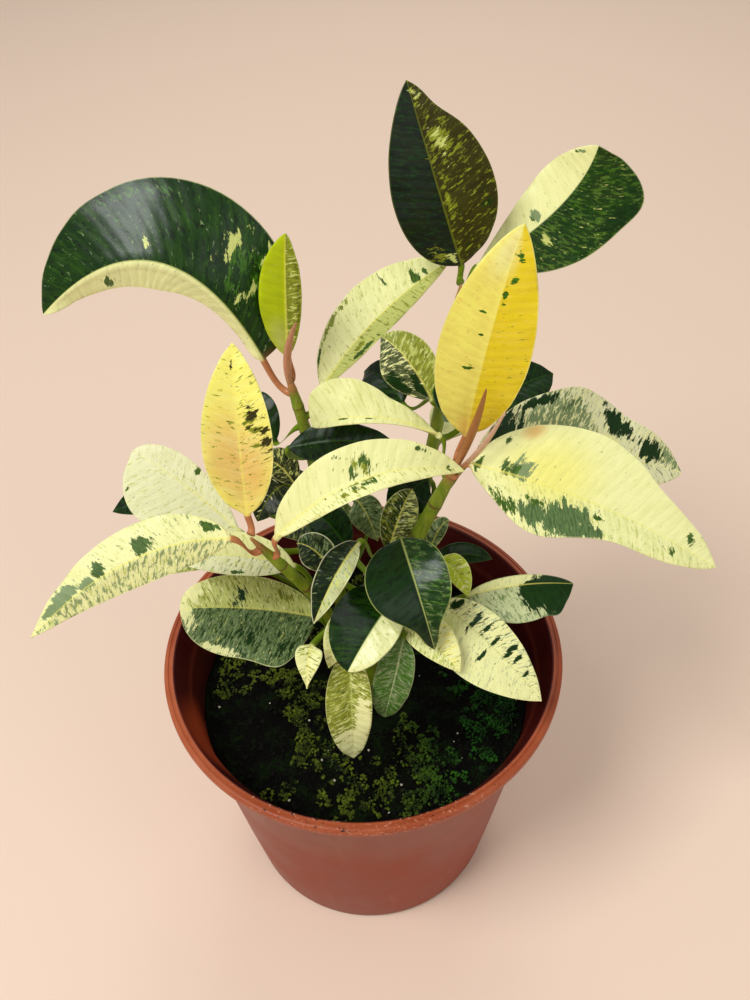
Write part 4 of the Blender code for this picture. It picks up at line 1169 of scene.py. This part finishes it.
def moss_finish():
    """Olive moss, each tuft a little yellower or darker than the next, purer green on the right."""
    finish = Finish("moss_green", Specular_IOR_Level=0.2)
    place = finish.place()
    tuft = finish.grain(place, 170, 5, 0.7)
    fine = finish.grain(place, 900, 3, 0.7)
    olive = finish.mix(finish.ramp(tuft, 0.35, 0.65), paint(13, 30, 2), paint(110, 126, 26))
    fresh = finish.mix(finish.ramp(tuft, 0.35, 0.65), paint(4, 30, 2), paint(38, 100, 12))
    green = finish.mix(finish.ramp(finish.split(place)[0], -0.005, 0.045), olive, fresh)
    finish.colour(finish.mix(finish.ramp(fine, 0.35, 0.7, 0.0, 0.6), green, paint(10, 18, 6)))
    finish.roughness(finish.ramp(fine, 0.3, 0.7, 0.6, 0.9))
    finish.relief(fine, 0.6)
    return finish.material


def grain_finish(name, dark, light, rough):
    """Small hard grains, mottled between two colours."""
    finish = Finish(name, Specular_IOR_Level=0.12)
    place = finish.place()
    mottle = finish.grain(place, 700, 4, 0.65)
    finish.colour(finish.mix(finish.ramp(mottle, 0.35, 0.65), dark, light))
    finish.roughness(finish.ramp(mottle, 0.3, 0.7, rough - 0.15, rough))
    finish.relief(mottle, 0.4)
    return finish.material


def make_soil():
    """The compost: a turned body whose top is crumbled."""
    edge = inner_radius(SOIL_TOP) - GAP
    low = FLOOR + GAP
    top = [(edge * ring / SOIL_RINGS, SOIL_TOP) for ring in range(SOIL_RINGS + 1)]
    profile = [(0, low), (BASE_RADIUS - 5, low), (inner_radius(low + 3) - GAP, low + 3)]
    shape = turned(profile + top[::-1], SOIL_SIDES)
    for vertex in shape.verts:
        if vertex.co.z > (SOIL_TOP - 1) * MM:
            x, y = vertex.co.x / MM, vertex.co.y / MM
            height = soil_height(x, y)
            room = (inner_radius(height) - GAP) / edge
            vertex.co = Vector((x * room, y * room, height)) * MM
    return dress(put("dressed_soil", shape, soil_finish(), 180), "soil", "soil")


def clear_of_stems(x, y):
    """Whether a spot on the soil lies clear of every stem."""
    return all(math.hypot(x - route[1][0], y - route[1][1]) > STEM_RADII[name][0] + STEM_CLEARANCE
               for name, route in STEM_ROUTES.items())


def soil_spots(count, chance, reach):
    """Random places on the soil, away from the stems."""
    spots = []
    while len(spots) < count:
        turn, far = chance.uniform(0, math.tau), reach * math.sqrt(chance.random())
        x, y = far * math.cos(turn), far * math.sin(turn)
        if clear_of_stems(x, y):
            spots.append((x, y))
    return spots


def gather(items, build):
    """One body of many small shapes, built a few at a time because that is quick."""
    whole = bmesh.new()
    for first in range(0, len(items), GROUP):
        few = bmesh.new()
        for item in items[first:first + GROUP]:
            build(few, item)
        mesh = bpy.data.meshes.new("few")
        few.to_mesh(mesh)
        few.free()
        whole.from_mesh(mesh)
        bpy.data.meshes.remove(mesh)
    bmesh.ops.recalc_face_normals(whole, faces=whole.faces[:])
    return whole


def scatter(name, spots, material, slot, chance, size, sink, squash, rough):
    """Small lumps joined into one piece: low spheres, knocked out of round, set into the soil."""
    def add_lump(shape, spot):
        x, y = spot
        radius = chance.uniform(*size)
        turn = Matrix.Rotation(chance.uniform(0, math.tau), 4, "Z")
        tilt = Matrix.Rotation(chance.uniform(-0.5, 0.5), 4, "X")
        spread = Matrix.Diagonal((chance.uniform(0.8, 1.3), 1, squash, 1))
        place = Matrix.Translation(Vector((x, y, soil_height(x, y) - radius * sink)) * MM)
        lump = bmesh.ops.create_icosphere(shape, subdivisions=1, radius=radius * MM,
                                          matrix=place @ turn @ tilt @ spread)
        for vertex in lump["verts"]:
            vertex.co += Vector([chance.uniform(-rough, rough) * radius * MM for _ in range(3)])
    return dress(put(name, gather(spots, add_lump), material, 180), slot)


def moss_centres(chance):
    """Places and sizes of the moss clumps, in drifts and thickest at the front right."""
    centres = []
    while len(centres) < MOSS_CLUMPS:
        x, y = soil_spots(1, chance, MOSS_REACH)[0]
        growth = noise.noise(Vector((x, y, 7)) * 0.05) + 0.5 * noise.noise(Vector((x, y, 3)) * 0.16)
        if growth + 0.004 * x + chance.uniform(-0.35, 0.35) > 0.0:
            centres.append((x, y, 0.7 + 4.3 * chance.random() ** 1.6))
    return centres


def make_moss(chance):
    """Moss clumps: low domes of tiny rounded lobes, some far apart and some run together."""
    lobes = []
    for x, y, size in moss_centres(chance):
        for _ in range(int(4 + 6 * size)):
            turn, far = chance.uniform(0, math.tau), size * math.sqrt(chance.random())
            lobe_x, lobe_y = x + far * math.cos(turn), y + far * math.sin(turn)
            if math.hypot(lobe_x, lobe_y) < LOBE_REACH and clear_of_stems(lobe_x, lobe_y):
                dome = 0.45 * size * (1 - (far / size) ** 2)
                lobes.append((lobe_x, lobe_y, dome * chance.uniform(0.4, 1.0), chance.uniform(0.35, 0.9)))

    def add_lobe(shape, lobe):
        lobe_x, lobe_y, rise, radius = lobe
        place = Matrix.Translation(Vector((lobe_x, lobe_y, soil_height(lobe_x, lobe_y) + rise)) * MM)
        turn = Matrix.Rotation(chance.uniform(0, math.tau), 4, "Z")
        turn = turn @ Matrix.Rotation(chance.uniform(-0.8, 0.8), 4, "X")
        spread = Matrix.Diagonal((1.2, 0.85, chance.uniform(0.45, 0.9), 1))
        bmesh.ops.create_icosphere(shape, subdivisions=1, radius=radius * MM, matrix=place @ turn @ spread)

    return dress(put("moss", gather(lobes, add_lobe), moss_finish(), 180), "soil")


# Studio


def add_lamp(name, place, size, power):
    """A round soft lamp turned toward the plant."""
    light = bpy.data.lights.new(name, "AREA")
    light.shape = "DISK"
    light.size = size
    light.energy = power
    lamp = bpy.data.objects.new(name, light)
    lamp.location = place
    lamp.rotation_euler = (Vector(LAMP_TARGET) - lamp.location).to_track_quat("-Z", "Y").to_euler()
    bpy.context.scene.collection.objects.link(lamp)


def make_camera():
    """The photograph's view. A lens as long as the sensor makes 1000 pixels of focal length."""
    lens = bpy.data.cameras.new("view")
    lens.lens = LENS
    lens.sensor_width = LENS
    lens.sensor_fit = "AUTO"
    lens.clip_start = 0.01
    camera = bpy.data.objects.new("view", lens)
    turn = Matrix((VIEW_RIGHT, VIEW_UP, -Vector(VIEW_AHEAD))).transposed().to_4x4()
    camera.matrix_world = Matrix.Translation(EYE) @ turn
    bpy.context.scene.collection.objects.link(camera)
    bpy.context.scene.camera = camera


def make_studio():
    """A pale floor, an even glow from all round and three soft lamps."""
    shape = bmesh.new()
    bmesh.ops.create_grid(shape, x_segments=1, y_segments=1, size=FLOOR_REACH)
    floor_finish = Finish("floor_paint", Roughness=0.8, Specular_IOR_Level=0.2)
    floor_finish.colour(paint(246, 220, 198))
    floor = put("floor", shape, floor_finish.material)
    floor.data.transform(Matrix.Translation((0, 0, -FLOOR_DROP)))
    world = bpy.data.worlds.new("studio")
    world.use_nodes = True
    glow = world.node_tree.nodes["Background"].inputs
    glow["Color"].default_value = (1.0, 0.97, 0.94, 1)
    glow["Strength"].default_value = AIR_GLOW
    bpy.context.scene.world = world
    bpy.context.scene.view_settings.view_transform = "Standard"
    for lamp in LAMPS:
        add_lamp(*lamp)


def make_new_growth():
    """The rolled new leaves at the tips of two stems, and the sheath beside one leaf."""
    growth = {
        "new_leaf_right": sheath_finish("orange_growth", paint(150, 92, 44), paint(190, 128, 66),
                                        paint(200, 140, 92)),
        "new_leaf_left": sheath_finish("pink_growth", paint(190, 122, 88), paint(214, 156, 118),
                                       paint(176, 130, 84)),
    }
    for name, stem, tip, radius in SPIKES:
        dress(make_spike(name, stem, tip, radius, growth[name]), "new_leaf", name)
    paper = sheath_finish("pale_sheath", paint(206, 150, 118), paint(232, 196, 164), paint(196, 128, 84))
    for name, start, knee, end, width in SHEATHS:
        dress(make_sheath(name, start, knee, end, width, paper), "new_leaf")


def main():
    """Builds the studio, then the plant from the pot up."""
    make_camera()
    make_studio()
    make_pot()
    make_soil()
    chance = random.Random(11)
    make_moss(chance)
    brown = grain_finish("crumb_brown", paint(3, 3, 2), paint(20, 16, 10), 0.9)
    scatter("crumbs", soil_spots(CRUMBS, chance, CRUMB_REACH), brown, "soil", chance,
            (0.5, 1.5), 0.1, 0.7, 0.25)
    white = grain_finish("perlite_white", paint(150, 146, 120), paint(214, 208, 184), 0.85)
    scatter("perlite", soil_spots(PERLITE_GRAINS, chance, PERLITE_REACH), white, "soil", chance,
            (0.25, 0.7), -0.6, 0.8, 0.2)
    for name, route in STEM_ROUTES.items():
        dress(make_stem(name, route), "stem", name)
    slots = {part["node"]: part["material_slot"] for part in frame["record"]["subparts"]}
    for seed, leaf in enumerate(LEAVES):
        dress(make_leaf(leaf, seed), slots[leaf.name], leaf.name)
    make_new_growth()


main()
